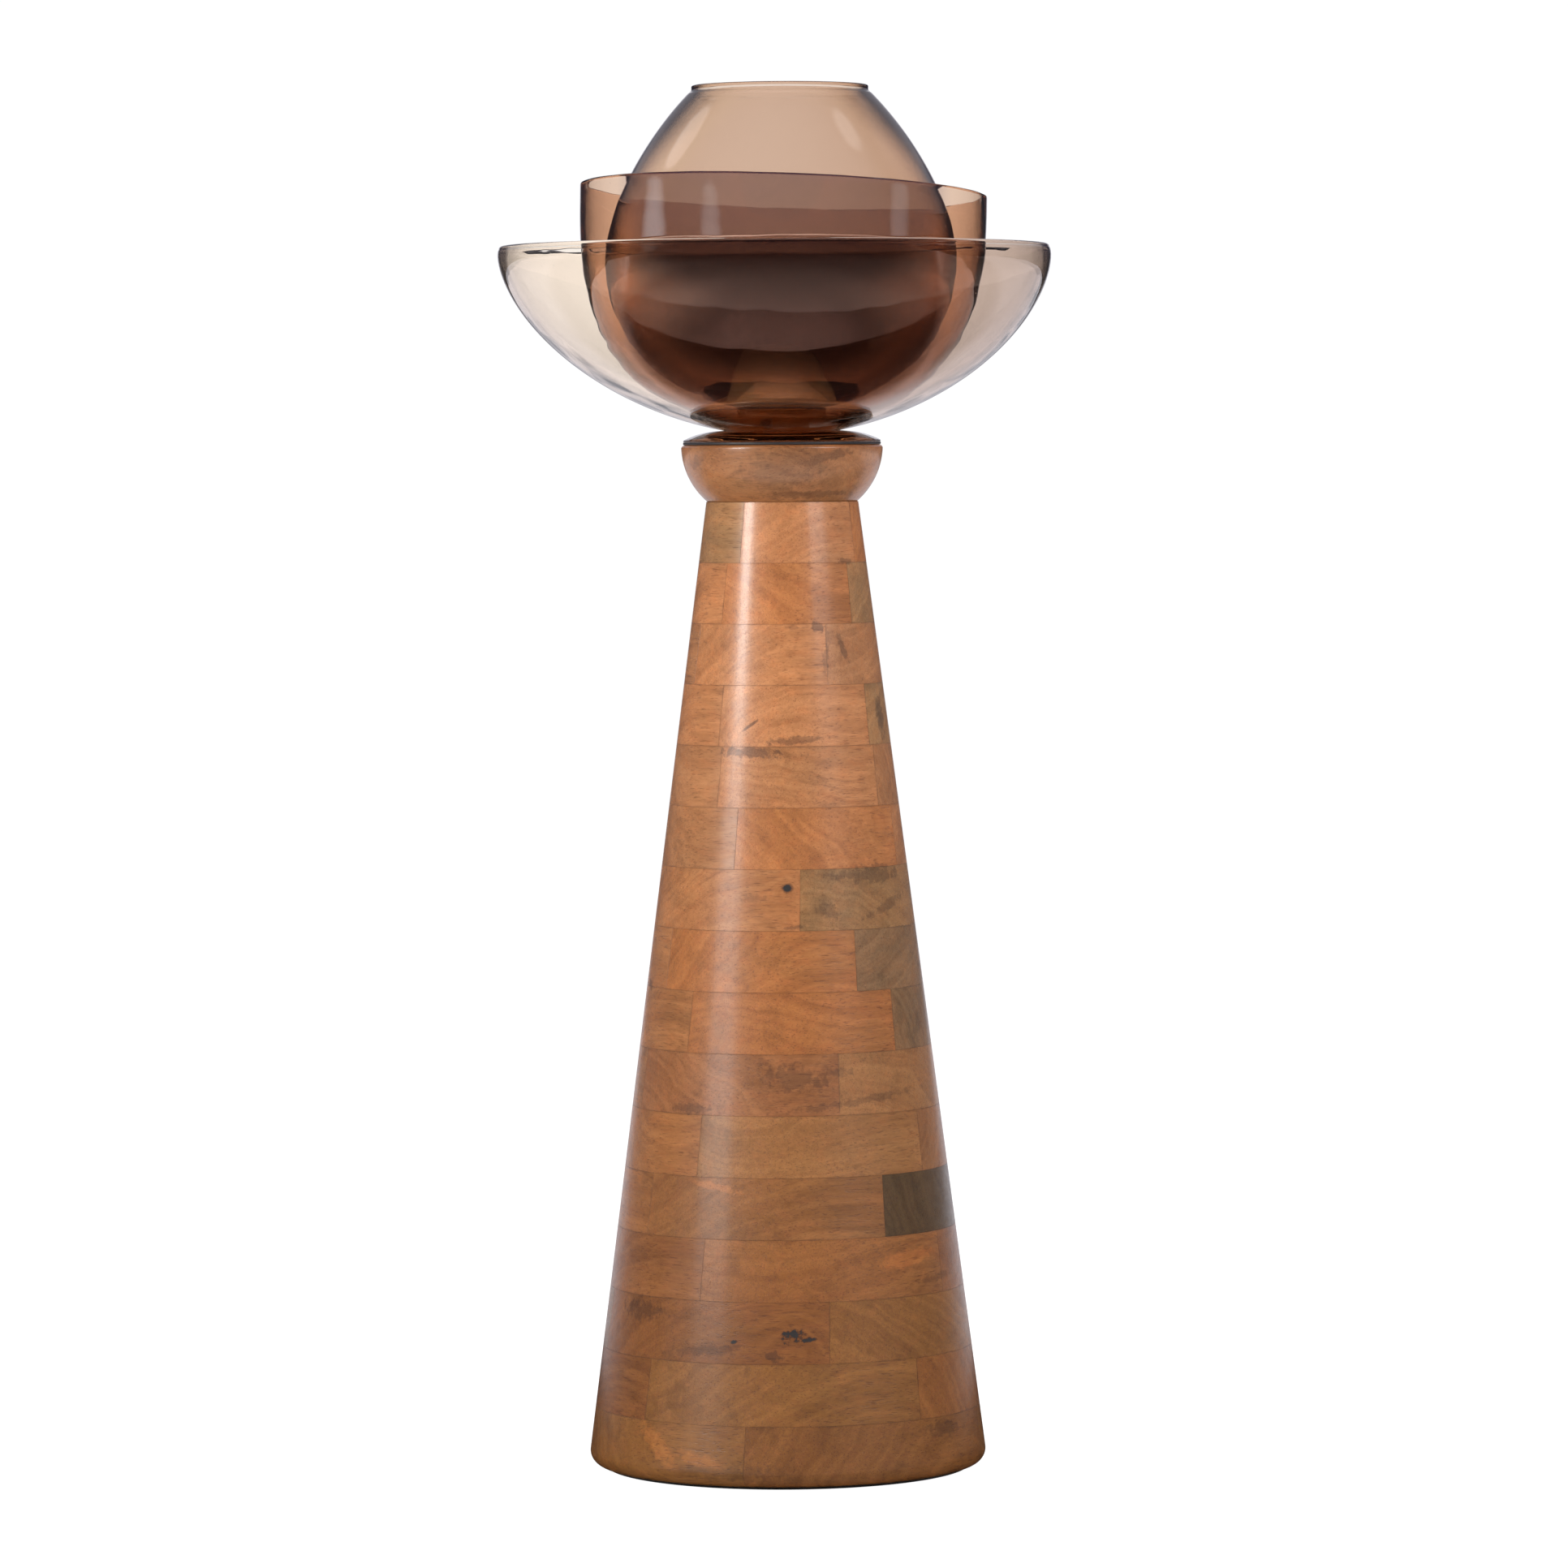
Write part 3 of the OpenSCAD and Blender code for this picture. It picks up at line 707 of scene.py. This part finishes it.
def board_outline(r, bore, c, eased):
    """Plan of one board at one level: along the round side to the right, then back round the hollow."""
    left_y = -(c + GLUE / 2)
    right_x = c - GLUE / 2
    start = math.atan2(left_y, -math.sqrt(r * r - left_y * left_y)) + 2 * math.pi
    end = math.atan2(-math.sqrt(r * r - right_x * right_x), right_x) + 2 * math.pi
    margins = [0.0, EASED / r, DARK_WIDTH / r]
    count = 60
    angles = [start + m for m in margins]
    angles += [start + (end - start) * k / count for k in range(1, count)]
    angles += [end - m for m in reversed(margins)]
    points = []
    for k, a in enumerate(angles):
        at_end = k == 0 or k == len(angles) - 1
        here = r - (EASED if at_end and not eased else 0.0)
        dark = 1.0 if at_end else HALF_DARK if k in (1, len(angles) - 2) else 0.0
        points.append((here * math.cos(a), here * math.sin(a), dark))
    # the ends lie exactly on the joint planes
    points[0] = (points[0][0], left_y, 1.0)
    points[-1] = (right_x, points[-1][1], 1.0)
    inner = []
    steps = 8
    if bore > math.hypot(left_y, right_x):
        first = math.atan2(-math.sqrt(bore * bore - right_x * right_x), right_x) + 2 * math.pi
        last = math.atan2(left_y, -math.sqrt(bore * bore - left_y * left_y)) + 2 * math.pi
        for k in range(steps + 1):
            a = first + (last - first) * k / steps
            inner.append((bore * math.cos(a), bore * math.sin(a), 0.0))
    else:
        inner = [(right_x, left_y, 0.0)] * (steps + 1)
    return points + inner


def board_course(course):
    """One glued course: four boards laid round the hollow like a pinwheel."""
    draw = random.Random(100 + course)
    c = hollow(course)
    turn = joint_turn(course)
    bm = bmesh.new()
    grain = bm.verts.layers.float_vector.new("grain")
    tone = bm.verts.layers.float_color.new("tone")
    edge = bm.verts.layers.float.new("edge")
    stain = bm.verts.layers.float.new("stain")
    height = min(1.0, max(0.0, (course - 3) / 10))
    for k, name in enumerate(BOARD_TONES[course - 1]):
        # painted shade: the tone darkens towards the foot, where less light falls
        shade = [v * (low + (1 - low) * height) for v, low in zip(TONES[name], PAINTED_FOOT_SHADE)]
        along, aside = draw.uniform(-3, 3), draw.uniform(-0.08, 0.08)
        pith = Vector((along, aside, draw.choice((-1, 1)) * draw.uniform(0.03, 0.12)))
        skew = draw.uniform(-0.05, 0.05)
        stained = draw.uniform(0.65, 1.0) if name in STAINED else draw.uniform(0.25, 0.60)
        rotate = Matrix.Rotation(turn + k * math.pi / 2, 3, "Z")
        rings = []
        for z, r, bore, seam in board_levels(course):
            ring = []
            for x, y, dark in board_outline(r, bore, c, seam == 1.0):
                v = bm.verts.new(rotate @ Vector((x, y, z)))
                v[grain] = Vector((x, y + skew * x, z - FELT_H - (course - 0.5) * COURSE_PITCH)) + pith
                v[tone] = (*shade, 1.0)
                v[edge] = max(seam, dark)
                v[stain] = stained
                ring.append(v)
            rings.append(ring)
        count = len(rings[0])
        for a, b in zip(rings, rings[1:]):
            for j in range(count):
                n = (j + 1) % count
                bm.faces.new((a[j], a[n], b[n], b[j]))
        bm.faces.new(list(reversed(rings[0])))
        bm.faces.new(rings[-1])
    bmesh.ops.remove_doubles(bm, verts=bm.verts, dist=1e-6)
    bmesh.ops.dissolve_degenerate(bm, edges=bm.edges, dist=1e-7)
    bmesh.ops.recalc_face_normals(bm, faces=bm.faces)
    mesh = mesh_from(bm, f"boards_{course:02d}")
    node = COURSES[course - 1]
    return add_piece(f"{node}_boards", mesh, WOOD, "pedestal", (node,), 25)


def paint_grain(mesh, tone_name, pith, stained, spin=0.0):
    """Gives a one-piece turning the attributes that the wood material reads."""
    turn = Matrix.Rotation(spin, 3, "Z")
    grain = mesh.attributes.new("grain", "FLOAT_VECTOR", "POINT")
    for v in mesh.vertices:
        grain.data[v.index].vector = turn @ (v.co - Vector((0, 0, COLLAR_TOP))) + Vector(pith)
    tone = mesh.attributes.new("tone", "FLOAT_COLOR", "POINT")
    for item in tone.data:
        item.color = (*TONES[tone_name], 1.0)
    stain = mesh.attributes.new("stain", "FLOAT", "POINT")
    for item in stain.data:
        item.value = stained


def collar_piece():
    """The turned cup on the pedestal, with its bore for the dowel."""
    side_radius, edge_round, cup_r = 54 * MM, 3 * MM, 73 * MM
    height = COLLAR_TOP - PEDESTAL_TOP
    lowest = -math.degrees(math.asin(height / side_radius))
    first = -math.degrees(math.asin(edge_round / side_radius))
    profile = [(DOWEL_R + 0.05 * MM, PEDESTAL_TOP)]
    profile += arc(cup_r - side_radius, COLLAR_TOP, side_radius, lowest, first, 30)
    profile += arc(cup_r - edge_round, COLLAR_TOP - edge_round, edge_round, 0, 90, 8)[1:]
    profile += [(DOWEL_R + 0.05 * MM, COLLAR_TOP), (DOWEL_R + 0.05 * MM, COLLAR_TOP - 16 * MM)]
    mesh = lathe("collar_turning", profile)
    paint_grain(mesh, "umber", (1.7, 0.020, -0.055), 0.75, spin=0.35)
    return add_piece("collar_turning", mesh, WOOD, "pedestal", ("collar",), 35)


for number in range(1, len(COURSES) + 1):
    board_course(number)
collar_piece()

# ---------------------------------------------------------------- gasket, felt, cap and screws


def flat_ring(name, node, inner, rounding, material):
    """A flat ring as large as its CAD node, with its outer edges rounded."""
    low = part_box(node)[0].z
    outer, _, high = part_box(node)[1]
    profile = [(inner, low), (inner, high)]
    profile += arc(outer - rounding, high - rounding, rounding, 90, 0, 5)
    profile += arc(outer - rounding, low + rounding, rounding, 0, -90, 5)
    return add_piece(name, lathe(name, profile), material, "pedestal", (node,))


flat_ring("gasket_ring", "seat_gasket", 62 * MM, 0.7 * MM, RUBBER)
flat_ring("felt_pad", "felt_ring", 92 * MM, 0.8 * MM, FELT)


def screw_mesh(name, length):
    """A countersunk wood screw, head up at the origin, with a cross recess and a cut thread."""
    head, shank, core, sink = 5 * MM, 2.4 * MM, 1.7 * MM, 3 * MM
    pitch = 1.8 * MM
    slot_length, slot_width, slot_depth, taper = 5.4 * MM, 1.1 * MM, 4.4 * MM, 0.55
    profile = [(0, 0), (head - 0.2 * MM, 0), (head, -0.2 * MM), (shank, -sink), (shank, -sink - 4 * MM)]
    z = -sink - 4 * MM
    while z > -length + 6 * MM:
        profile += [(core, z - 0.5 * pitch), (shank, z - 0.8 * pitch), (shank, z - 0.9 * pitch)]
        z -= pitch
    profile += [(core, z - 0.5 * MM), (0, -length)]
    mesh = lathe(name, profile, segments=32)
    body = bpy.data.objects.new(name + "_body", mesh)
    SCENE.collection.objects.link(body)
    for k in range(2):
        bm = bmesh.new()
        bmesh.ops.create_cube(bm, size=1.0)
        for v in bm.verts:
            s = taper if v.co.z < 0 else 1.0
            v.co = Vector((v.co.x * slot_length * s, v.co.y * slot_width * s, v.co.z * slot_depth))
        bm.transform(Matrix.Rotation(k * math.pi / 2, 4, "Z"))
        cutter = bpy.data.objects.new("recess", mesh_from(bm, "recess"))
        SCENE.collection.objects.link(cutter)
        cut = body.modifiers.new("recess", "BOOLEAN")
        cut.operation, cut.object, cut.solver = "DIFFERENCE", cutter, "EXACT"
        bpy.context.view_layer.update()
        evaluated = body.evaluated_get(bpy.context.evaluated_depsgraph_get())
        cut_mesh = bpy.data.meshes.new_from_object(evaluated)
        body.modifiers.clear()
        body.data = cut_mesh
        bpy.data.objects.remove(cutter)
    mesh = body.data
    bpy.data.objects.remove(body)
    return mesh


def cap_screws():
    """Four screws in the closing plate, heads down, joined into one piece."""
    ring, count, first = 48 * MM, 4, 63
    base = screw_mesh("cap_screw", 26 * MM)
    bm = bmesh.new()
    for k in range(count):
        copy = base.copy()
        spin = Matrix.Rotation(math.radians(first + 90 * k), 4, "Z")
        place = spin @ Matrix.Translation((ring, 0, FELT_H)) @ Matrix.Rotation(math.pi, 4, "X")
        copy.transform(place @ Matrix.Rotation(0.7 * k, 4, "Z"))
        bm.from_mesh(copy)
    mesh = mesh_from(bm, "cap_screws")
    return add_piece("cap_screws", mesh, ZINC, "pedestal", ("base_cap_screws",), 30)


cap_screws()

# ---------------------------------------------------------------- glass

OUTER_OUT = Wall(200 * MM, SEAT + 134 * MM, 130 * MM, 1.88, 1.654)
OUTER_IN = Wall(195 * MM, SEAT + 134 * MM, 125 * MM, 1.88, 1.654)
MIDDLE_OUT = Wall(147 * MM, SEAT + 170 * MM, 158.5 * MM, 2.5, 2.5)
MIDDLE_IN = Wall(143.5 * MM, SEAT + 170 * MM, 154.5 * MM, 2.5, 2.5)
GLOBE_OUT = Wall(127 * MM, SEAT + 136 * MM, 117 * MM, 1.9, 2.29)
GLOBE_IN = Wall(124 * MM, SEAT + 136 * MM, 114 * MM, 1.9, 2.29)
GLOBE_TOP_OUT = Wall(127 * MM, SEAT + 136 * MM, 156 * MM, 1.53, 1.53)
GLOBE_TOP_IN = Wall(124 * MM, SEAT + 136 * MM, 153 * MM, 1.53, 1.53)
OUTER_LEAN = -5 * MM  # how far a rim stands off the axis, to the right
MIDDLE_LEAN = 2.5 * MM


def outer_bowl_piece():
    """Outer bowl and its domed foot, one piece of glass."""
    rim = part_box("outer_bowl")[1].z
    foot_r, join_r, edge = 71.5 * MM, 42 * MM, 1.5 * MM
    join_z = OUTER_OUT.z(join_r)
    floor = SEAT + 10.5 * MM
    profile = [(0, SEAT + 1 * MM), (57 * MM, SEAT + 1 * MM), (58 * MM, SEAT + 0.05 * MM)]
    profile += arc(foot_r - 0.7 * MM, SEAT + 0.75 * MM, 0.7 * MM, -90, 60, 8)
    for k in range(1, 25):
        s = 1 - k / 24
        r = join_r + (foot_r - join_r) * s
        profile.append((r - 0.3 * MM * s, SEAT + edge + (join_z - SEAT - edge) * (1 - s ** 2.2)))
    profile += [p for p in OUTER_OUT.points(join_z, OUTER_OUT.z0, 64) if p[0] > join_r + 0.2 * MM]
    lip = (OUTER_OUT.r(rim) - OUTER_IN.r(rim)) / 2
    profile += [(OUTER_OUT.r(z), z) for z in (OUTER_OUT.z0 + 2 * MM, OUTER_OUT.z0 + 4 * MM)]
    profile += arc(OUTER_OUT.r(rim) - lip, rim - lip, lip, 0, 180, 12)
    profile += [(OUTER_IN.r(z), z) for z in (OUTER_IN.z0 + 4 * MM, OUTER_IN.z0 + 2 * MM)]
    profile += list(reversed(OUTER_IN.points(floor, OUTER_IN.z0, 64)))
    profile.append((0, floor))
    shift = wobble(3.0, 0.25 * MM)
    flat = SEAT + 12 * MM
    mesh = lathe("outer_bowl_glass", profile, 256,
                 lambda a, r, z: (r + (shift(a, z) if z > flat else 0.0), z))
    lean(mesh, flat, OUTER_LEAN / (rim - flat))
    return add_piece("outer_bowl_glass", mesh, OUTER_GLASS, "outer_bowl",
                     ("outer_bowl", "glass_foot"))


def middle_bowl_piece():
    """Deeper bowl with its rim cut at a slant."""
    top = SEAT + 181 * MM
    left, front = math.radians(2.3), math.radians(3.1)
    normal = Vector((math.cos(front) * math.sin(left), math.sin(front), math.cos(front) * math.cos(left)))
    flat, floor = SEAT + 13 * MM, SEAT + 16.5 * MM
    wall = MIDDLE_OUT.radius - MIDDLE_IN.radius
    lip = 0.9 * MM
    z0 = MIDDLE_OUT.z0
    profile = [(0, flat)] + MIDDLE_OUT.points(flat, z0, 72)
    profile += [(MIDDLE_OUT.radius, z0 + (top - lip - z0) * k / 4) for k in range(1, 4)]
    profile += arc(MIDDLE_OUT.radius - lip, top - lip, lip, 0, 90, 5)
    profile += arc(MIDDLE_OUT.radius - wall + lip, top - lip, lip, 90, 180, 5)
    profile += [(MIDDLE_IN.radius, z0 + (top - lip - z0) * k / 4) for k in (3, 2, 1)]
    profile += list(reversed(MIDDLE_IN.points(floor, z0, 72))) + [(0, floor)]
    shift = wobble(9.0, 0.35 * MM)

    def warp(a, r, z):
        rise = -(normal.x * r * math.cos(a) + normal.y * r * math.sin(a)) / normal.z
        share = max(0.0, (z - z0) / (top - z0))
        ragged = 0.25 * MM * noise.noise(Vector((math.cos(a) * 5, math.sin(a) * 5, 0)))
        return r + (shift(a, z) if z > flat + 8 * MM else 0.0), z + share * (rise + ragged)

    mesh = lathe("middle_bowl_glass", profile, 256, warp)
    lean(mesh, flat + 8 * MM, MIDDLE_LEAN / (top - flat))
    lustre = mesh.attributes.new("lustre", "FLOAT", "POINT")
    between = (MIDDLE_OUT.radius + MIDDLE_IN.radius) / 2
    for v in mesh.vertices:
        middle_r = between if v.co.z > z0 else (MIDDLE_OUT.r(v.co.z) + MIDDLE_IN.r(v.co.z)) / 2
        off_axis = MIDDLE_LEAN * (v.co.z - flat) / (top - flat)
        lustre.data[v.index].value = 1.0 if math.hypot(v.co.x - off_axis, v.co.y) > middle_r else 0.0
    return add_piece("middle_bowl_glass", mesh, MIDDLE_GLASS, "middle_bowl",
                     ("middle_bowl",))


def neck(from_r, from_z, to_r, straight, height, steps=10):
    """Blend from the globe's flank into its short straight neck."""
    shares = [k / steps for k in range(1, steps + 1)]
    rise = height - straight
    return [(to_r + (from_r - to_r) * (1 - s) ** 1.9, from_z + rise * s) for s in shares]


def globe_piece():
    """Closed-in vessel with a short neck and a fire-polished mouth."""
    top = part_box("globe")[1].z
    flat, floor = SEAT + 20 * MM, SEAT + 23 * MM
    neck_h, straight, mouth_r, wall = 6 * MM, 1.5 * MM, 64 * MM, 3 * MM
    shoulder = top - neck_h
    outside = GLOBE_TOP_OUT.r(shoulder)
    inside = outside - wall * 1.3
    lip = 1.3 * MM
    profile = [(0, flat)] + GLOBE_OUT.points(flat, GLOBE_OUT.z0, 72)
    profile += list(reversed(GLOBE_TOP_OUT.points(shoulder, GLOBE_OUT.z0 + 1 * MM, 60)))
    profile += neck(outside, shoulder, mouth_r, straight, neck_h - lip)
    profile += arc(mouth_r - lip, top - lip, lip, 0, 90, 6)
    profile += arc(mouth_r - wall + lip, top - lip, lip, 90, 180, 6)
    profile += list(reversed(neck(inside, shoulder, mouth_r - wall, straight, neck_h - lip)))
    profile += GLOBE_TOP_IN.points(shoulder - 3 * MM, GLOBE_OUT.z0 + 1 * MM, 60)
    profile += list(reversed(GLOBE_IN.points(floor, GLOBE_OUT.z0, 72))) + [(0, floor)]
    shift = wobble(17.0, 0.3 * MM)
    low, high = flat + 10 * MM, shoulder - 6 * MM
    mesh = lathe("globe_glass", profile, 256,
                 lambda a, r, z: (r + (shift(a, z) if low < z < high else 0.0), z))
    return add_piece("globe_glass", mesh, GLOBE_GLASS, "globe", ("globe",))


GLASS_PIECES = [piece.name for piece in (outer_bowl_piece(), middle_bowl_piece(), globe_piece())]

# ---------------------------------------------------------------- dish


def dish_piece():
    """Black candle dish that follows the globe's floor underneath, with a rolled rim."""
    dish_r, sheet = 56 * MM, 1.5 * MM
    floor_r, floor = 42 * MM, SEAT + 32 * MM
    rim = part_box("candle_dish")[1].z
    rise = 1.5 * MM
    globe_floor = SEAT + 23 * MM

    def under(r):
        return max(globe_floor, GLOBE_IN.z(r)) + rise

    profile = [(0, under(0))]
    profile += [(r, under(r)) for r in [(12 + 44 * k / 20) * MM for k in range(21)]]
    profile += arc(dish_r - sheet / 2, rim - sheet / 2, sheet / 2, 0, 180, 8)
    profile += arc(floor_r, floor + 1.2 * MM, 1.2 * MM, -60, -90, 3) + [(0, floor)]
    mesh = lathe("candle_dish_cup", profile, 160)
    return add_piece("candle_dish_cup", mesh, ENAMEL, "candle_dish", ("candle_dish",), 30)


dish_piece()

# CAD pieces whose shape is right keep it and get their finish here
for node_name, finish in {
    "base_cap": PLYWOOD,
    "collar_dowel": BEECH,
    "collar_screws": ZINC,
    "lower_pad": SILICONE,
    "cradle_ring": SILICONE,
    "dish_feet": SILICONE,
}.items():
    part = frame["nodes"][node_name]
    part.data.materials.clear()
    part.data.materials.append(finish)

# ---------------------------------------------------------------- stage, lights and camera


def seen_directly(t):
    """1 for rays from the camera, straight or through glass, and 0 once they are mirrored or scattered."""
    path = t.add("LightPath")
    straight = t.math("MAXIMUM", path.outputs["Is Camera Ray"], path.outputs["Is Transmission Ray"])
    turned = t.math("ADD", path.outputs["Glossy Depth"], path.outputs["Diffuse Depth"])
    return path, t.math("MULTIPLY", straight, t.math("LESS_THAN", turned, 0.5))


FLOOR_RADIUS = 9.0
DIM_FLOOR = rgb(0.022, 0.013, 0.013)  # mirrored floor round the stand
LIT_EDGE, LIT_BEND = 0.48, 0.3  # from y = bend * x**2 - edge towards the camera the floor is lit
LIT_NEAR, LIT_FAR = rgb(0.50, 0.40, 0.35), rgb(0.10, 0.08, 0.09)
BOUNCE_COLOUR = rgb(0.88, 0.84, 0.80)  # what the floor gives back to the wood
PATCH_GLOW = rgb(1.0, 0.70, 0.58)
UNDERLIGHT = rgb(1.0, 0.97, 0.94)
HAZE = rgb(0.92, 0.90, 0.97)  # bright surround behind the object, as mirrored


def floor_stage():
    """White floor. Mirrored, it is dim round the stand, lighter in front of an edge and white behind."""
    bm = bmesh.new()
    bmesh.ops.create_circle(bm, cap_ends=True, segments=96, radius=FLOOR_RADIUS)
    mesh = mesh_from(bm, "floor")
    floor = bpy.data.objects.new("floor", mesh)
    SCENE.collection.objects.link(floor)
    material, t = new_material("pale_floor")
    path, seen = seen_directly(t)
    mirrored, scattered = path.outputs["Glossy Depth"], path.outputs["Is Diffuse Ray"]
    where = t.add("SeparateXYZ", {0: t.place()})
    x, y = where.outputs["X"], where.outputs["Y"]

    def glow(colour, strength):
        return t.add("Emission", {"Color": colour, "Strength": strength})

    bend = t.math("MULTIPLY", t.math("POWER", x, 2.0), LIT_BEND)
    past_edge = t.remap(t.math("SUBTRACT", t.math("SUBTRACT", bend, LIT_EDGE), y), 0.0, 0.02)
    lit = t.mix(t.remap(y, -5.5, -0.5), LIT_FAR, LIT_NEAR)
    shade = t.mix(past_edge, DIM_FLOOR, lit)
    painted = t.add("BsdfDiffuse", {"Color": t.mix(scattered, shade, BOUNCE_COLOUR)})
    behind = t.math("MULTIPLY", t.remap(y, 0.6, 1.2), mirrored, clamp=True)
    beside = t.remap(t.math("ABSOLUTE", x), 0.45, 1.0, 1.0, 0.0)
    in_front = t.product(past_edge, t.remap(y, -1.9, -0.5), beside)
    in_front = t.math("MULTIPLY", in_front, mirrored, clamp=True)
    indirect = t.together(painted, glow(HAZE, t.math("MULTIPLY", behind, 0.8)),
                          glow(PATCH_GLOW, t.math("MULTIPLY", in_front, 1.1)),
                          glow(UNDERLIGHT, t.math("MULTIPLY", scattered, 0.13)))
    pale = t.add("BsdfDiffuse", {"Color": rgb(0.20, 0.20, 0.20)})
    direct = t.together(pale, glow(rgb(1, 1, 1), 0.97))
    finish_material(t, t.add("MixShader", {0: seen, 1: indirect.outputs[0], 2: direct.outputs[0]}))
    mesh.materials.append(material)


# Soft lights that only mirrors see: (direction, cosine at the edge, strength)
GLOWS = (
    ((-0.978, -0.205, -0.040), 0.985, 0.40),
    ((-0.661, -0.749, -0.040), 0.992, 0.22),
    ((0.932, -0.362, -0.020), 0.992, 0.16),
    ((-0.655, 0.357, 0.665), 0.985, 2.4),
    ((0.573, 0.080, 0.815), 0.990, 1.3),
)
GLOW_COLOUR = rgb(0.92, 0.95, 1.0)
ROOM_LOW, ROOM_HIGH = rgb(0.05, 0.045, 0.045), rgb(0.040, 0.042, 0.090)
EVEN_LIGHT = rgb(0.42, 0.42, 0.43)
SURROUND = rgb(1.02, 1.02, 1.02)


def studio_world():
    """White surround behind the object, a dim room in its mirrors, and even light for what it scatters."""
    world = bpy.data.worlds.new("studio")
    SCENE.world = world
    t = Nodes(world)
    path, seen = seen_directly(t)
    toward = t.add("TexCoord").outputs["Generated"]
    direction = t.add("SeparateXYZ", {0: toward})
    x, y, z = (direction.outputs[axis] for axis in "XYZ")
    room = t.mix(t.remap(z, -0.10, 0.30), ROOM_LOW, ROOM_HIGH)
    ahead = t.product(t.remap(t.math("ABSOLUTE", x), 0.12, 0.26, 1.0, 0.0), t.remap(y, 0.50, 0.70),
                      t.remap(z, -0.12, 0.02))
    above = t.product(t.remap(z, 0.12, 0.25), t.remap(y, 0.1, 0.4), t.remap(z, 0.75, 0.60), 0.40)
    room = t.mix(t.math("MAXIMUM", ahead, above), room, HAZE)
    for centre, edge, strength in GLOWS:
        glow = t.remap(t.vec("DOT_PRODUCT", toward, centre), edge, 1.0)
        room = t.mix(t.math("MULTIPLY", glow, strength), room, GLOW_COLOUR, "ADD")
    room = t.mix(path.outputs["Is Diffuse Ray"], room, EVEN_LIGHT)
    background = t.add("Background", {"Color": t.mix(seen, room, SURROUND), "Strength": 1.0})
    t.add("OutputWorld", {"Surface": background.outputs[0]})


def softbox(name, place, target, size, power, colour, mirrored):
    """An area light that lights everything but the glass."""
    light = bpy.data.lights.new(name, "AREA")
    light.shape = "RECTANGLE"
    light.size, light.size_y = size
    light.energy, light.color = power, colour
    lamp = bpy.data.objects.new(name, light)
    lamp.location = place
    lamp.rotation_euler = (Vector(target) - Vector(place)).to_track_quat("-Z", "Y").to_euler()
    lamp.visible_glossy = mirrored
    lamp.visible_camera = False
    lamp.visible_transmission = False
    SCENE.collection.objects.link(lamp)
    lamp.light_linking.receiver_collection = lit_objects


floor_stage()
studio_world()
lit_objects = bpy.data.collections.new("lit_objects")
for item in list(SCENE.objects):
    if item.type == "MESH" and item.name not in GLASS_PIECES:
        lit_objects.objects.link(item)
# (name, place, target, size, watts, colour, seen in mirrors)
for lamp_row in (
    ("key_left", (-1.74, -1.40, 1.66), (0, 0, 0.75), (0.50, 1.3), 41, (1.0, 0.98, 0.95), True),
    ("veil_left", (-1.80, -1.45, 0.85), (0, 0, 0.4), (0.9, 0.9), 7, (0.96, 0.98, 1.0), True),
    ("fill_right", (1.9, -1.5, 1.95), (0, 0, 0.75), (1.2, 1.5), 31, (0.98, 0.98, 1.0), True),
    ("side_right", (2.4, -0.1, 1.2), (0, 0, 0.6), (1.0, 1.2), 9, (0.98, 0.98, 1.0), False),
    ("overhead", (-0.2, -1.2, 2.6), (0, 0, 0.7), (1.6, 1.2), 14, (1, 1, 1), False),
    ("back", (0.9, 2.2, 1.8), (0, 0, 0.6), (1.4, 1.4), 20, (1.0, 0.99, 0.97), False),
):
    softbox(*lamp_row)

# The photograph's view: 5.3 m away, looking slightly down, the picture turned a third of a degree
CAMERA_PLACE = (0.0015, -5.287, 0.741)
LOOKS_DOWN, ROLL = 2.66, 0.35
camera_data = bpy.data.cameras.new("camera")
camera_data.sensor_width = 36
camera_data.lens = 167.7
camera = bpy.data.objects.new("camera", camera_data)
camera.location = CAMERA_PLACE
camera.rotation_euler = (math.radians(90 - LOOKS_DOWN), math.radians(ROLL), 0)
SCENE.collection.objects.link(camera)
SCENE.camera = camera

SCENE.view_settings.view_transform = "Standard"
SCENE.cycles.max_bounces = 32
SCENE.cycles.transmission_bounces = 32
SCENE.cycles.glossy_bounces = 6
